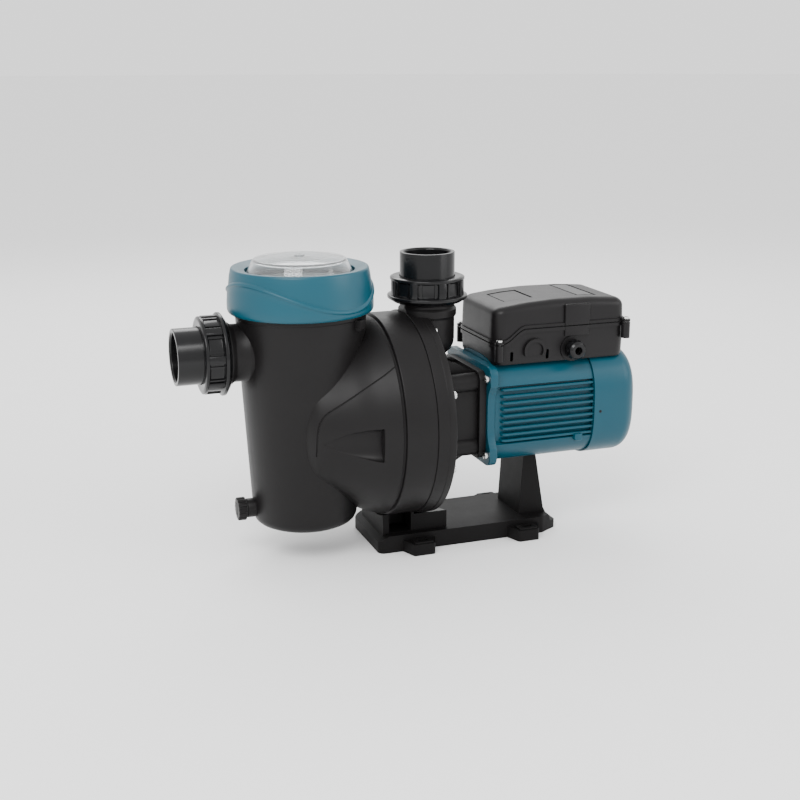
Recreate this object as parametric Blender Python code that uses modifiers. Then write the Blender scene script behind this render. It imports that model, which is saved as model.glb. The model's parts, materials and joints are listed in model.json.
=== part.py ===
"""A self-priming swimming-pool pump, as an assembly of separate pieces.

A strainer pot with a screwed lid, a volute barrel, a finned motor, an electronics box
and a moulded base. Lengths are in millimetres and become metres where a mesh is made.
X runs along the shaft, from the suction union (-X) to the fan cover (+X). The base
stands on z = 0 and the origin is in the middle of the pump's footprint.
"""

import math

import bmesh
import bpy
from mathutils import Matrix, Vector

MM = 0.001
GAP = 0.3

# Driving dimensions
SHAFT_Z = 184.0
POT_X = -150.0
SUCTION_Z = 285.8
DISCHARGE_X = POT_X + 179.0

POT_TOP_R = 86.9
POT_FOOT_R = 70.3
POT_FOOT_Z = 45.0
POT_SHOULDER_Z = 333.0
POT_NECK_R = 88.3
POT_RIM_Z = 378.2
POT_WALL = 4.2

BARREL_R = 140.0
SCREW_CIRCLE_R = 131.0
SCREW_COUNT = 8

UNION_TUBE_R = 37.5
UNION_BORE_R = 31.5
SUCTION_SEAT_X = POT_X - 121.0
DISCHARGE_SEAT_Z = 355.5

MOTOR_HALF = 76.0
FAN_COVER_HALF = 78.5
SQUIRCLE_POWER = 3.0
FLANGE_SCREWS = [(-72.0, 54.0), (72.0, 54.0), (72.0, -54.0), (-72.0, -54.0)]

BOX_LEFT = POT_X + 252.8
BOX_RIGHT = POT_X + 453.0
BOX_HALF = 65.0
BOX_FLOOR_Z = 252.0
BOX_WALL = 3.0
BOX_SEAM_LEFT_Z = 283.0
BOX_SEAM_RIGHT_Z = 302.0
BOX_SCREW_Y = 68.2
BOX_SCREWS = [(POT_X + along, side * BOX_SCREW_Y, seam)
              for side in (-1, 1)
              for along, seam in ((258.0, BOX_SEAM_LEFT_Z), (450.0, BOX_SEAM_RIGHT_Z))]
GLAND_X = POT_X + 369.0
GLAND_Z = 269.6

BASE_LEFT = POT_X + 88.0
BASE_RIGHT = POT_X + 362.0
BASE_HALF = 58.8
BASE_TOP = 24.0
LUG_TIP = 82.0
LUG_TOP = 16.0
LUG_X = (POT_X + 146.0, POT_X + 303.0)
SLOT_Y = 71.0

DRAIN_Z = 69.0

HANDLE_Z = 369.0
HANDLE_R = 69.0

# Sides of the large round pieces
POT_STEPS = 28
BARREL_STEPS = 32

WAYS = {"+z": (0, 0, 0), "+x": (0, 90, 0), "-x": (0, -90, 0), "-y": (90, 0, 0)}
AXIS_LETTERS = "xyz"


# Scene, collections and materials

def clear_scene():
    for obj in list(bpy.data.objects):
        bpy.data.objects.remove(obj, do_unlink=True)


def new_collection(name):
    collection = bpy.data.collections.new(name)
    bpy.context.scene.collection.children.link(collection)
    return collection


def plain_material(name, color, roughness, metallic=0.0):
    material = bpy.data.materials.new(name)
    material.use_nodes = True
    shader = material.node_tree.nodes["Principled BSDF"]
    shader.inputs["Base Color"].default_value = (*color, 1.0)
    shader.inputs["Roughness"].default_value = roughness
    shader.inputs["Metallic"].default_value = metallic
    return material


clear_scene()
PARTS = new_collection("pool_pump")
TOOLS = new_collection("cutters")

BLACK = plain_material("black_plastic", (0.035, 0.034, 0.036), 0.42)
UNION_BLACK = plain_material("union_plastic", (0.03, 0.031, 0.033), 0.3)
TEAL = plain_material("teal_paint", (0.045, 0.20, 0.27), 0.38)
CLEAR = plain_material("clear_polycarbonate", (0.75, 0.8, 0.8), 0.08)
RUBBER = plain_material("seal_rubber", (0.02, 0.02, 0.02), 0.8)
STEEL = plain_material("stainless_steel", (0.62, 0.62, 0.62), 0.3, 1.0)
LAMINATION = plain_material("core_steel", (0.3, 0.3, 0.31), 0.5, 1.0)
COPPER = plain_material("copper_winding", (0.6, 0.28, 0.13), 0.4, 1.0)
CERAMIC = plain_material("seal_ceramic", (0.8, 0.78, 0.72), 0.35)
CARBON = plain_material("seal_carbon", (0.05, 0.05, 0.05), 0.5)
INNER_PLASTIC = plain_material("pump_plastic", (0.12, 0.12, 0.12), 0.5)
BASKET_PLASTIC = plain_material("basket_plastic", (0.55, 0.57, 0.58), 0.5)
BOARD = plain_material("circuit_board", (0.05, 0.22, 0.1), 0.5)


# Outlines

def rounded(corners, steps=2, closed=True):
    """Points through (x, y, radius) corners, each corner rounded with an arc of its radius."""
    points = []
    last = len(corners) - 1
    for index, (x, y, radius) in enumerate(corners):
        here = Vector((x, y))
        if radius == 0 or (not closed and index in (0, last)):
            points.append((x, y))
            continue
        back = (Vector(corners[index - 1][:2]) - here).normalized()
        ahead = (Vector(corners[(index + 1) % len(corners)][:2]) - here).normalized()
        half_angle = back.angle(ahead) / 2
        centre = here + (back + ahead).normalized() * radius / math.sin(half_angle)
        start = here + back * radius / math.tan(half_angle) - centre
        end = here + ahead * radius / math.tan(half_angle) - centre
        for step in range(steps + 1):
            points.append(tuple(centre + start.slerp(end, step / steps) * radius))
    return points


def circle(radius, count, centre=(0, 0)):
    angles = [2 * math.pi * index / count for index in range(count)]
    return [(centre[0] + radius * math.cos(a), centre[1] + radius * math.sin(a)) for a in angles]


def squircle_side(half, height):
    """Half-width of a squircle at a height above its middle."""
    return half * (1 - (abs(height) / half) ** SQUIRCLE_POWER) ** (1 / SQUIRCLE_POWER)


def squircle(half, count=32):
    """A square outline with very round corners."""
    points = []
    for index in range(count):
        angle = 2 * math.pi * (index + 0.5) / count
        across, up = math.cos(angle), math.sin(angle)
        power = 2 / SQUIRCLE_POWER
        points.append((math.copysign(half * abs(across) ** power, across),
                       math.copysign(half * abs(up) ** power, up)))
    return points


def square_points(low_x, high_x, low_y, high_y):
    return [(low_x, low_y), (high_x, low_y), (high_x, high_y), (low_x, high_y)]


# Objects

def add_object(name, mesh, material, place, way=(0, 0, 0)):
    obj = bpy.data.objects.new(name, mesh)
    obj.location = Vector(place) * MM
    obj.rotation_euler = [math.radians(angle) for angle in way]
    mesh.materials.append(material)
    PARTS.objects.link(obj)
    return obj


def mesh_from(bm, name):
    mesh = bpy.data.meshes.new(name)
    bm.to_mesh(mesh)
    bm.free()
    mesh.shade_smooth()
    mesh.set_sharp_from_angle(angle=math.radians(35))
    return mesh


def turned(name, outline, material, place, way="+z", steps=32):
    """A turned solid. The outline is (radius, height), down its outer side and back up its inner side."""
    bm = bmesh.new()
    half_step = math.pi / steps
    first_x, first_y = math.cos(half_step) * MM, math.sin(half_step) * MM
    verts = [bm.verts.new((radius * first_x, radius * first_y, height * MM)) for radius, height in outline]
    count = len(verts)
    for index in range(count):
        after = (index + 1) % count
        if outline[index][0] > 0 or outline[after][0] > 0:
            bm.edges.new((verts[index], verts[after]))
    mesh = bpy.data.meshes.new(name)
    bm.to_mesh(mesh)
    bm.free()
    obj = add_object(name, mesh, material, place, WAYS[way])
    screw = obj.modifiers.new("Turn", "SCREW")
    screw.steps = steps
    screw.render_steps = steps
    screw.use_merge_vertices = True
    screw.merge_threshold = 0.00001
    return obj


def add_prism(bm, outline, low, high, axis):
    """Adds an outline extruded along an axis to a mesh."""
    order = {"x": (2, 0, 1), "y": (0, 2, 1), "z": (0, 1, 2)}[axis]

    def point(across, up, along):
        values = (across, up, along)
        return Vector([values[place] for place in order]) * MM

    base = bm.faces.new([bm.verts.new(point(across, up, low)) for across, up in outline])
    added = bmesh.ops.extrude_face_region(bm, geom=[base])["geom"]
    top = [item for item in added if isinstance(item, bmesh.types.BMVert)]
    bmesh.ops.translate(bm, verts=top, vec=point(0, 0, high - low))
    faces = {face for vert in top for face in vert.link_faces} | {base}
    bmesh.ops.recalc_face_normals(bm, faces=list(faces))


def prism(name, outline, low, high, axis, material, place=(0, 0, 0), round_low=0, round_high=0, steps=3):
    """An outline extruded along an axis, with the edges of its end faces rounded if asked."""
    bm = bmesh.new()
    add_prism(bm, outline, low, high, axis)
    letter = AXIS_LETTERS.index(axis)
    for level, radius in ((low, round_low), (high, round_high)):
        if radius:
            rim = [edge for edge in bm.edges
                   if all(abs(vert.co[letter] - level * MM) < 1e-7 for vert in edge.verts)]
            bmesh.ops.bevel(bm, geom=rim, offset=radius * MM, segments=steps, profile=0.5, affect="EDGES")
    return add_object(name, mesh_from(bm, name), material, place)


def prisms(name, solids, material, place=(0, 0, 0)):
    """Several separate extrusions in one mesh, for cutting or joining in one step."""
    bm = bmesh.new()
    for outline, low, high, axis in solids:
        add_prism(bm, outline, low, high, axis)
    return add_object(name, mesh_from(bm, name), material, place)


def copies_round(name, outline, low, high, count, first_angle, material, place, way="+z"):
    """Equal extrusions along the local Z axis, spaced evenly round it."""
    bm = bmesh.new()
    for index in range(count):
        single = bmesh.new()
        add_prism(single, outline, low, high, "z")
        turn = Matrix.Rotation(math.radians(first_angle) + 2 * math.pi * index / count, 4, "Z")
        bmesh.ops.transform(single, matrix=turn, verts=single.verts)
        mesh = bpy.data.meshes.new("copy")
        single.to_mesh(mesh)
        single.free()
        bm.from_mesh(mesh)
        bpy.data.meshes.remove(mesh)
    return add_object(name, mesh_from(bm, name), material, place, WAYS[way])


def rod(name, radius, low, high, place, way="+z", count=24, material=BLACK):
    """A plain round bar between two heights along its own axis."""
    return turned(name, [(0, high), (radius, high), (radius, low), (0, low)], material, place, way, count)


def block(name, low_corner, high_corner, material=BLACK):
    outline = square_points(low_corner[0], high_corner[0], low_corner[1], high_corner[1])
    return prism(name, outline, low_corner[2], high_corner[2], "z", material)


def as_tool(obj):
    PARTS.objects.unlink(obj)
    TOOLS.objects.link(obj)
    obj.hide_render = True
    obj.display_type = "WIRE"
    return obj


def combine(target, tool, operation):
    if tool.name in PARTS.objects:
        as_tool(tool)
    boolean = target.modifiers.new(tool.name, "BOOLEAN")
    boolean.operation = operation
    boolean.solver = "EXACT"
    boolean.object = tool


def cut(target, *tools):
    for tool in tools:
        combine(target, tool, "DIFFERENCE")


def join(target, *tools):
    for tool in tools:
        combine(target, tool, "UNION")


def keep(target, tool):
    combine(target, tool, "INTERSECT")


# Pump body: pot, suction neck, cone and barrel

def pot_outer():
    outline = rounded([(POT_NECK_R - 10, POT_RIM_Z, 0), (POT_NECK_R, POT_RIM_Z, 0),
                       (POT_NECK_R, POT_SHOULDER_Z + 1, 0), (POT_TOP_R, POT_SHOULDER_Z - 1, 0),
                       (POT_FOOT_R, POT_FOOT_Z, 13), (0, POT_FOOT_Z, 0), (0, 100, 0),
                       (POT_NECK_R - 30, 100, 0)], closed=False)
    return turned("pump_body", outline, BLACK, (POT_X, 0, 0), steps=POT_STEPS)


def pot_cavity():
    floor = POT_FOOT_Z + POT_WALL + 1
    outline = rounded([(0, POT_RIM_Z + 5, 0), (83.4, POT_RIM_Z + 5, 0), (83.4, 368, 0), (81.2, 368, 0),
                       (81.2, 350, 0), (POT_TOP_R - POT_WALL, 331, 0),
                       (POT_FOOT_R - POT_WALL, floor, 9), (0, floor, 0)], closed=False)
    return turned("pot_cavity", outline, BLACK, (POT_X, 0, 0), steps=POT_STEPS - 2)


def barrel_outer():
    """The cone that swells out of the pot and the barrel behind its groove, along the shaft."""
    outline = [(BARREL_R, 142), (BARREL_R, 100.2), (135.6, 99.4), (135.6, 96.4), (138, 95.4),
               (127.5, 69), (113.5, 45), (103, 21), (94.1, -1), (84.5, -12), (74, -19), (0, -22),
               (0, 50), (98, 50), (112, 80), (112, 142)]
    return turned("barrel_outer", outline, BLACK, (POT_X, 0, SHAFT_Z), "+x", BARREL_STEPS)


def barrel_cavity():
    """The pump chamber: it follows the cone and stays clear of the pot's own wall."""
    outline = [(0, 144), (120, 144), (120, 122), (132, 116), (132, 98), (112, 80), (108, 69), (98, 38),
               (0, 38)]
    chamber = turned("barrel_cavity", outline, BLACK, (POT_X, 0, SHAFT_Z), "+x", BARREL_STEPS - 2)
    kept_wall = [(0, 360), (POT_TOP_R + 2, 360), (POT_FOOT_R + 1, POT_FOOT_Z - 2), (0, POT_FOOT_Z - 2)]
    cut(chamber, turned("pot_keep", kept_wall, BLACK, (POT_X, 0, 0), steps=POT_STEPS))
    return chamber


def screw_holes(name, low, high, radius):
    outline = circle(radius, 8, (SCREW_CIRCLE_R, 0))
    return copies_round(name, outline, low, high, SCREW_COUNT, 22.5, BLACK, (POT_X, 0, SHAFT_Z), "+x")


def scoop():
    """The recess in the cone's side: a leaning cone that deepens towards a flat end."""
    stations = ((2.0, 98.0, 0.6), (32.0, 115.7, 11.0), (73.0, 140.0, 24.0))
    bm = bmesh.new()
    rings = []
    for along, reach, radius in stations:
        rings.append([bm.verts.new(Vector((POT_X + along, across - reach, SHAFT_Z - 7 + up)) * MM)
                      for across, up in circle(radius, 20)])
    for near, far in zip(rings, rings[1:]):
        for index in range(len(near)):
            after = (index + 1) % len(near)
            bm.faces.new((near[index], near[after], far[after], far[index]))
    bm.faces.new(rings[0])
    bm.faces.new(rings[-1])
    bmesh.ops.recalc_face_normals(bm, faces=bm.faces)
    return add_object("scoop", mesh_from(bm, "scoop"), BLACK, (0, 0, 0))


def pump_body():
    body = pot_outer()
    neck_end = 121 - 3.6
    suction_neck = turned("suction_neck", [(42.3, neck_end), (42.3, 102), (37.5, 94), (37.5, 60), (31, 60),
                                           (29, 88), (29, neck_end)],
                          BLACK, (POT_X, 0, SUCTION_Z), "-x", 20)
    boss = turned("drain_boss", [(13, 82.4), (13, 60), (7.7, 60), (7.7, 82.4)], BLACK,
                  (POT_X, 0, DRAIN_Z), "-x", 16)
    join(body, barrel_outer(), suction_neck, boss)
    water_space = pot_cavity()
    join(water_space, rod("suction_bore", 28.6, 66, 95, (POT_X, 0, SUCTION_Z), "-x", 18),
         rod("port", 30, 60, 90, (POT_X, 0, SHAFT_Z), "+x", 20),
         rod("drain_hole", 7.4, 50, 77, (POT_X, 0, DRAIN_Z), "-x", 14))
    cut(body, barrel_cavity(), water_space)
    cut(body, screw_holes("body_screw_holes", 126, 144, 3.6), scoop())
    return body


# Rear cover, its screws and its seal

def rear_cover():
    """The barrel's back: a dished disc with the seal's hub and the discharge tube."""
    outline = [(141, 142.6), (127.6, 142.6), (127.6, 146.2), (117, 146.2), (116, 150), (22, 150),
               (22, 145.4), (17.4, 145.4), (17.4, 151), (10.8, 151), (10.8, 158), (116, 158),
               (118, 168), (143, 168), (143, 158.5), (141, 157.5)]
    cover = turned("rear_cover", outline, BLACK, (POT_X, 0, SHAFT_Z), "+x", BARREL_STEPS)
    top = DISCHARGE_SEAT_Z - 3.6
    tube_outline = rounded([(42.3, top, 0), (42.3, 338.5, 0), (37.2, 335.5, 0), (37.2, 331, 0), (40, 327, 0),
                            (40, 320, 0), (37.2, 316, 0), (37.2, 264, 16), (0, 264, 0), (0, 275, 0),
                            (29, 275, 0), (29, top, 0)], closed=False)
    tube = turned("discharge_tube", tube_outline, BLACK, (DISCHARGE_X, 0, 0), steps=20)
    front_space = [(0, 149), (115, 149), (115, 146.1), (127.4, 146.1), (127.4, 142.5), (165, 142.5),
                   (165, 110), (0, 110)]
    cut(tube, turned("cover_front_space", front_space, BLACK, (POT_X, 0, SHAFT_Z), "+x", BARREL_STEPS - 2))
    join(cover, tube)
    riser = rod("discharge_riser", 28.6, 276, 345, (DISCHARGE_X, 0, 0), "+z", 18)
    join(riser, rod("discharge_inlet", 15, 139, 179, (POT_X, 0, 287), "+x", 12))
    cut(cover, riser, screw_holes("cover_screw_holes", 140, 171, 3.6))
    return cover


def casing_screws():
    """Cap screws through the rear cover's rim into the barrel."""
    outline = [(0, 173.4), (5.3, 173.4), (5.3, 168.3), (3.0, 168.3), (3.0, 128), (0, 128)]
    for index in range(SCREW_COUNT):
        angle = math.radians(22.5 + 360 / SCREW_COUNT * index)
        place = (POT_X, SCREW_CIRCLE_R * math.cos(angle), SHAFT_Z + SCREW_CIRCLE_R * math.sin(angle))
        turned(f"casing_screw_{index + 1}", outline, STEEL, place, "+x", 8)


def ring_seal(name, ring_radius, section_radius, place, way="+z"):
    section = circle(section_radius, 5, (ring_radius, 0))
    section.reverse()
    return turned(name, section, RUBBER, place, way, 20)


# Lid, its ring and the basket

def clear_lid():
    outline = [(0, 410.6), (6.5, 410.6), (7.2, 409), (38, 408), (60.5, 405.6), (62.8, 403), (69.6, 389),
               (70.6, 385), (88, 385), (88, 381.3), (68, 381.3), (66.8, 388), (59.4, 401.8), (38, 404),
               (0, 405.4)]
    return turned("clear_lid", outline, CLEAR, (POT_X, 0, 0), steps=POT_STEPS)


def lid_ring():
    outline = [(84, 395.6), (90, 395.4), (91.8, 391), (94.6, 371), (96.6, 356), (96.8, 342), (94, 336.6),
               (89.2, 336.6), (89.2, 385.4), (72.5, 385.4), (72.5, 391.5)]
    return turned("lid_ring", outline, TEAL, (POT_X, 0, 0), steps=POT_STEPS)


def strainer_basket():
    """A tapered basket that hangs by its rim, with slots and a window for the suction neck."""
    top_r, foot_r, foot, wall = 77.0, 61.0, 110.0, 2.0
    outline = [(82.5, 373), (82.5, 368.4), (top_r, 368.4), (foot_r, foot), (0, foot),
               (0, foot + wall), (foot_r - wall, foot + wall), (top_r - wall, 373)]
    basket = turned("strainer_basket", outline, BASKET_PLASTIC, (POT_X, 0, 0), steps=22)
    slot_width = 8.0
    wall_slot = square_points(50, 85, -slot_width / 2, slot_width / 2)
    cut(basket, copies_round("basket_slots", wall_slot, 130, 245, 12, 7.5, BASKET_PLASTIC, (POT_X, 0, 0)))
    floor_slot = square_points(12, 50, -slot_width / 2, slot_width / 2)
    cut(basket, copies_round("basket_floor_slots", floor_slot, foot - 5, foot + 10, 6, 4, BASKET_PLASTIC,
                             (POT_X, 0, 0)))
    window = rod("basket_window", 31, 40, 100, (POT_X, 0, SUCTION_Z), "-x", 20)
    pin_holes = prisms("basket_pin_holes", [(circle(3.2, 8), -90, 90, "y")], BASKET_PLASTIC,
                       (POT_X, 0, HANDLE_Z))
    cut(basket, window, pin_holes)
    return basket


def basket_handle():
    """A wire bail that lies flat in the basket's mouth and swings up about its two pins."""
    arc_steps = 12
    pin_end = 79.0
    path = [(0, -pin_end), (0, -HANDLE_R - 4)]
    for step in range(arc_steps + 1):
        angle = math.pi * (step / arc_steps - 0.5)
        path.append((5 + (HANDLE_R - 5) * math.cos(angle), HANDLE_R * math.sin(angle)))
    path += [(0, HANDLE_R + 4), (0, pin_end)]
    curve = bpy.data.curves.new("basket_handle", "CURVE")
    curve.dimensions = "3D"
    spline = curve.splines.new("POLY")
    spline.points.add(len(path) - 1)
    for point, (along, across) in zip(spline.points, path):
        point.co = (along * MM, across * MM, 0, 1)
    curve.bevel_depth = 2.5 * MM
    curve.bevel_resolution = 1
    curve.use_fill_caps = True
    return add_object("basket_handle", curve, BASKET_PLASTIC, (POT_X, 0, HANDLE_Z))


# Union couplings

def union_set(prefix, place, way):
    """A tailpiece, its nut and its flat seal. Local z = 0 is the tailpiece's seat."""
    tailpiece = [(UNION_TUBE_R, 50), (UNION_TUBE_R, 6), (42.4, 6), (42.4, 0), (28, 0), (28, 14),
                 (UNION_BORE_R, 14), (UNION_BORE_R, 50)]
    turned(f"{prefix}_tailpiece", tailpiece, UNION_BLACK, place, way, 20)
    nut_outline = [(50.8, 17.5), (50.8, 13), (48.6, 12), (48.6, -6), (54.8, -7.5), (54.8, -12.5), (47, -18),
                   (43.2, -18), (43.2, 6.3), (38.2, 6.3), (38.2, 17.5)]
    nut = turned(f"{prefix}_nut", nut_outline, UNION_BLACK, place, way, 20)
    lug = square_points(45.5, 52.6, -6, 6)
    join(nut, copies_round(f"{prefix}_nut_lugs", lug, -9, 10, 8, 3.5, UNION_BLACK, place, way))
    turned(f"{prefix}_seal", [(41, -GAP), (41, -3.3), (32, -3.3), (32, -GAP)], RUBBER, place, way, 20)


# Drain plug

def drain_parts():
    place = (POT_X, 0, DRAIN_Z)
    plug = rod("drain_plug", 7, 66, 86, place, "-x", 12)
    cap_points = []
    ribs = 12
    for index in range(ribs * 2):
        angle = math.pi * index / ribs
        radius = 15.8 if index % 2 == 0 else 14.2
        cap_points.append((radius * math.cos(angle), radius * math.sin(angle)))
    cap = copies_round("drain_cap", cap_points, 84.4, 95.4, 1, 0, BLACK, place, "-x")
    join(plug, cap)
    turned("drain_washer", [(12, 84.1), (12, 82.7), (7.8, 82.7), (7.8, 84.1)], RUBBER, place, "-x", 16)


# Pump internals along the shaft

def on_shaft(name, outline, material, steps=18):
    """A piece turned about the shaft. Heights are measured along X from the pot's axis."""
    return turned(name, outline, material, (POT_X, 0, SHAFT_Z), "+x", steps)


def diffuser():
    on_shaft("diffuser", [(104, 138), (104, 104), (101, 101), (29.2, 101), (29.2, 74), (25.6, 74),
                          (25.6, 104.5), (99, 104.5), (100.5, 106), (100.5, 138)], INNER_PLASTIC, 24)


def vane_outline():
    """One backward-curved impeller vane, as a bent strip."""
    inner, outer, thickness, sweep = 20.0, 58.0, 2.4, 55.0
    steps = 4
    edge = []
    for step in range(steps + 1):
        share = step / steps
        radius = inner + (outer - inner) * share
        angle = math.radians(-sweep * share)
        edge.append(Vector((radius * math.cos(angle), radius * math.sin(angle))))
    other = []
    for index, point in enumerate(edge):
        ahead = edge[min(index + 1, steps)] - edge[max(index - 1, 0)]
        other.append(point + Vector((-ahead.y, ahead.x)).normalized() * thickness)
    return [tuple(point) for point in edge] + [tuple(point) for point in reversed(other)]


def impeller():
    hub = on_shaft("impeller", [(13, 128.4), (60, 127), (60, 123.5), (15, 123.5), (13, 112), (7.3, 112),
                                (7.3, 128.4)], INNER_PLASTIC)
    join(hub, copies_round("impeller_vanes", vane_outline(), 112.5, 125, 6, 0, INNER_PLASTIC,
                           (POT_X, 0, SHAFT_Z), "+x"))
    outline = [(0, 124), (2.8, 124), (2.8, 108), (8.5, 108), (9.5, 107), (9.5, 103), (0, 103)]
    on_shaft("impeller_screw", outline, STEEL, 12)


def shaft_seal():
    on_shaft("seal_seat", [(17, 150.6), (17, 144.9), (11, 144.9), (11, 150.6)], CERAMIC)
    on_shaft("seal_face", [(15.2, 144.6), (15.2, 140.2), (8.4, 140.2), (8.4, 144.6)], CARBON)
    seal_spring()


def seal_spring():
    """The helical spring that presses the rotating face on its seat."""
    turns, ring_radius, start, end = 3, 11.4, 129.9, 138.8
    points_per_turn = 8
    curve = bpy.data.curves.new("seal_spring", "CURVE")
    curve.dimensions = "3D"
    count = turns * points_per_turn
    spline = curve.splines.new("POLY")
    spline.points.add(count)
    for index, point in enumerate(spline.points):
        angle = 2 * math.pi * index / points_per_turn
        along = start + (end - start) * index / count
        point.co = (ring_radius * math.cos(angle) * MM, ring_radius * math.sin(angle) * MM, along * MM, 1)
    curve.bevel_depth = 0.9 * MM
    curve.bevel_resolution = 1
    curve.use_fill_caps = True
    add_object("seal_spring", curve, STEEL, (POT_X, 0, SHAFT_Z), WAYS["+x"])


def motor_shaft():
    outline = [(0, 450), (7.5, 450), (7.5, 409), (10, 408), (10, 379), (14, 378), (14, 272), (10, 271),
               (10, 159), (7, 157), (7, 108.3), (3.1, 108.3), (3.1, 126), (0, 126)]
    on_shaft("motor_shaft", outline, STEEL, 16)


# Lantern bracket between the pump and the motor

def lantern_bracket():
    half = 62.0
    outline = rounded([(-half, -half, 16), (half, -half, 16), (half, half, 16), (-half, half, 16)], 2)
    bracket = prism("lantern_bracket", outline, 168.6, 240.6, "x", BLACK, (POT_X, 0, SHAFT_Z))
    foot = on_shaft("lantern_foot", [(98, 174), (98, 158.4), (45, 158.4), (45, 174)], BLACK, 28)
    join(bracket, foot)
    tunnel = rod("lantern_tunnel", 50, 157, 242, (POT_X, 0, SHAFT_Z), "+x", 20)
    drip_slot = rounded([(POT_X + 186, -20, 5), (POT_X + 226, -20, 5), (POT_X + 226, 20, 5),
                         (POT_X + 186, 20, 5)])
    cut(bracket, tunnel, prism("drip_slot", drip_slot, SHAFT_Z - 90, SHAFT_Z, "z", BLACK))
    cut(bracket, rod("elbow_space", 39, 262, 300, (DISCHARGE_X, 0, 0), "+z", 20))
    return bracket


# Motor

def finned_outline():
    """The motor housing's section: a squircle with a comb of fins on both sides."""
    fin_count, pitch, thickness, depth = 9, 9.0, 3.6, 7.0
    first = -36.0
    comb = []
    for index in range(fin_count):
        low = first + index * pitch - thickness / 2
        high = low + thickness
        tip = squircle_side(MOTOR_HALF, (low + high) / 2)
        comb += [(tip - depth, low), (tip, low), (tip, high), (tip - depth, high)]
    comb = comb[1:-1]
    top_z = comb[-1][1]
    bottom_z = comb[0][1]
    cap = [point for point in squircle(MOTOR_HALF) if point[1] > top_z + 3]
    sole = [point for point in squircle(MOTOR_HALF) if point[1] < bottom_z - 3]
    mirrored = [(-across, up) for across, up in reversed(comb)]
    sole.sort(key=lambda point: point[0])
    cap.sort(key=lambda point: -point[0])
    return comb + cap + mirrored + sole


def motor_housing():
    housing = prism("motor_housing", finned_outline(), 252.6, 400, "x", TEAL, (POT_X, 0, SHAFT_Z))
    cut(housing, rod("housing_bore", 58, 250, 402, (POT_X, 0, SHAFT_Z), "+x", 28))
    return housing


def front_shield():
    """The motor's front flange: four corner ears with a waist between them, and a bearing seat."""
    side, waist, top = 80.0, 70.0, 70.0
    half = [(side, -top, 12), (side, -38, 6), (waist, -26, 6), (waist, 26, 6), (side, 38, 6),
            (side, top, 12)]
    outline = rounded(half + [(-across, up, radius) for across, up, radius in reversed(half)])
    shield = prism("front_shield", outline, 241, 252.3, "x", TEAL, (POT_X, 0, SHAFT_Z))
    spigot = [(0, 262), (28, 262), (28, 258), (57.6, 258), (57.6, 250), (0, 250)]
    join(shield, on_shaft("front_spigot", spigot, TEAL))
    cut(shield, on_shaft("front_bearing_seat", [(0, 263), (23.8, 263), (23.8, 246), (12, 246), (12, 240),
                                                (0, 240)], TEAL, 24))
    holes = [(circle(3.6, 8, (across, up)), 239, 254, "x") for across, up in FLANGE_SCREWS]
    cut(shield, prisms("flange_holes", holes, TEAL, (POT_X, 0, SHAFT_Z)))
    return shield


def flange_screws():
    outline = [(0, 251.5), (3, 251.5), (3, 240.7), (5.4, 240.7), (5.4, 235.8), (0, 235.8)]
    for index, (across, up) in enumerate(FLANGE_SCREWS):
        turned(f"flange_screw_{index + 1}", outline, STEEL, (POT_X, across, SHAFT_Z + up), "+x", 8)


def bearing(prefix, start):
    """A shielded ball bearing as its outer and inner rings."""
    end = start + 14
    on_shaft(f"{prefix}_outer", [(23.5, end), (23.5, start), (17.4, start), (17.4, end)], STEEL, 16)
    on_shaft(f"{prefix}_inner", [(17, end), (17, start), (10.4, start), (10.4, end)], STEEL, 16)


def motor_core():
    on_shaft("stator_core", [(57.6, 365), (57.6, 285), (36.2, 285), (36.2, 365)], LAMINATION)
    on_shaft("rotor_core", [(35.4, 365), (35.4, 285), (14.3, 285), (14.3, 365)], LAMINATION)
    for name, low in (("winding_front", 268.0), ("winding_rear", 365.4)):
        outline = rounded([(54, low + 16.6, 4), (54, low, 4), (38.5, low, 4), (38.5, low + 16.6, 4)], 1)
        on_shaft(name, outline, COPPER, 16)


def rear_shield():
    shield = prism("rear_shield", squircle(74.5), 400.6, 405, "x", TEAL, (POT_X, 0, SHAFT_Z))
    join(shield, on_shaft("rear_spigot", [(0, 403), (57.6, 403), (57.6, 392), (0, 392)], TEAL))
    seat = [(0, 409), (11, 409), (11, 402), (23.8, 402), (23.8, 386), (0, 386)]
    cut(shield, on_shaft("rear_bearing_seat", seat, TEAL, 24))
    return shield


def cooling_fan():
    fan = on_shaft("cooling_fan", [(14, 446), (14, 416), (62, 414), (62, 411.5), (7.8, 411.5), (7.8, 446)],
                   INNER_PLASTIC)
    blade = square_points(12, 60, -1.2, 1.2)
    join(fan, copies_round("fan_blades", blade, 413, 440, 8, 0, INNER_PLASTIC, (POT_X, 0, SHAFT_Z), "+x"))
    return fan


def fan_cover():
    wall = 2.4
    place = (POT_X, 0, SHAFT_Z)
    cover = prism("fan_cover", squircle(FAN_COVER_HALF), 400.6, 471, "x", TEAL, place, round_high=24)
    cut(cover, prism("fan_cover_inside", squircle(FAN_COVER_HALF - wall), 399, 471 - wall, "x", TEAL, place,
                     round_high=22, steps=2))
    grille = square_points(16, 50, -3, 3)
    cut(cover, copies_round("fan_grille", grille, 460, 480, 12, 11, TEAL, place, "+x"))
    return cover


# Electronics box

def seam_outline(shift, low_z=None, high_z=None):
    """The line where the lid meets the base, seen from the side, closed above or below it."""
    start, rise, end = POT_X + 263.0, 36.0, POT_X + 470.0
    line = [(POT_X + 235.0, BOX_SEAM_LEFT_Z + shift)]
    steps = 8
    for step in range(steps + 1):
        share = step / steps
        climb = (1 - math.cos(math.pi * share)) / 2
        line.append((start + rise * share,
                     BOX_SEAM_LEFT_Z + (BOX_SEAM_RIGHT_Z - BOX_SEAM_LEFT_Z) * climb + shift))
    line.append((end, BOX_SEAM_RIGHT_Z + shift))
    level = low_z if high_z is None else high_z
    return line + [(end, level), (POT_X + 235.0, level)]


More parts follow.
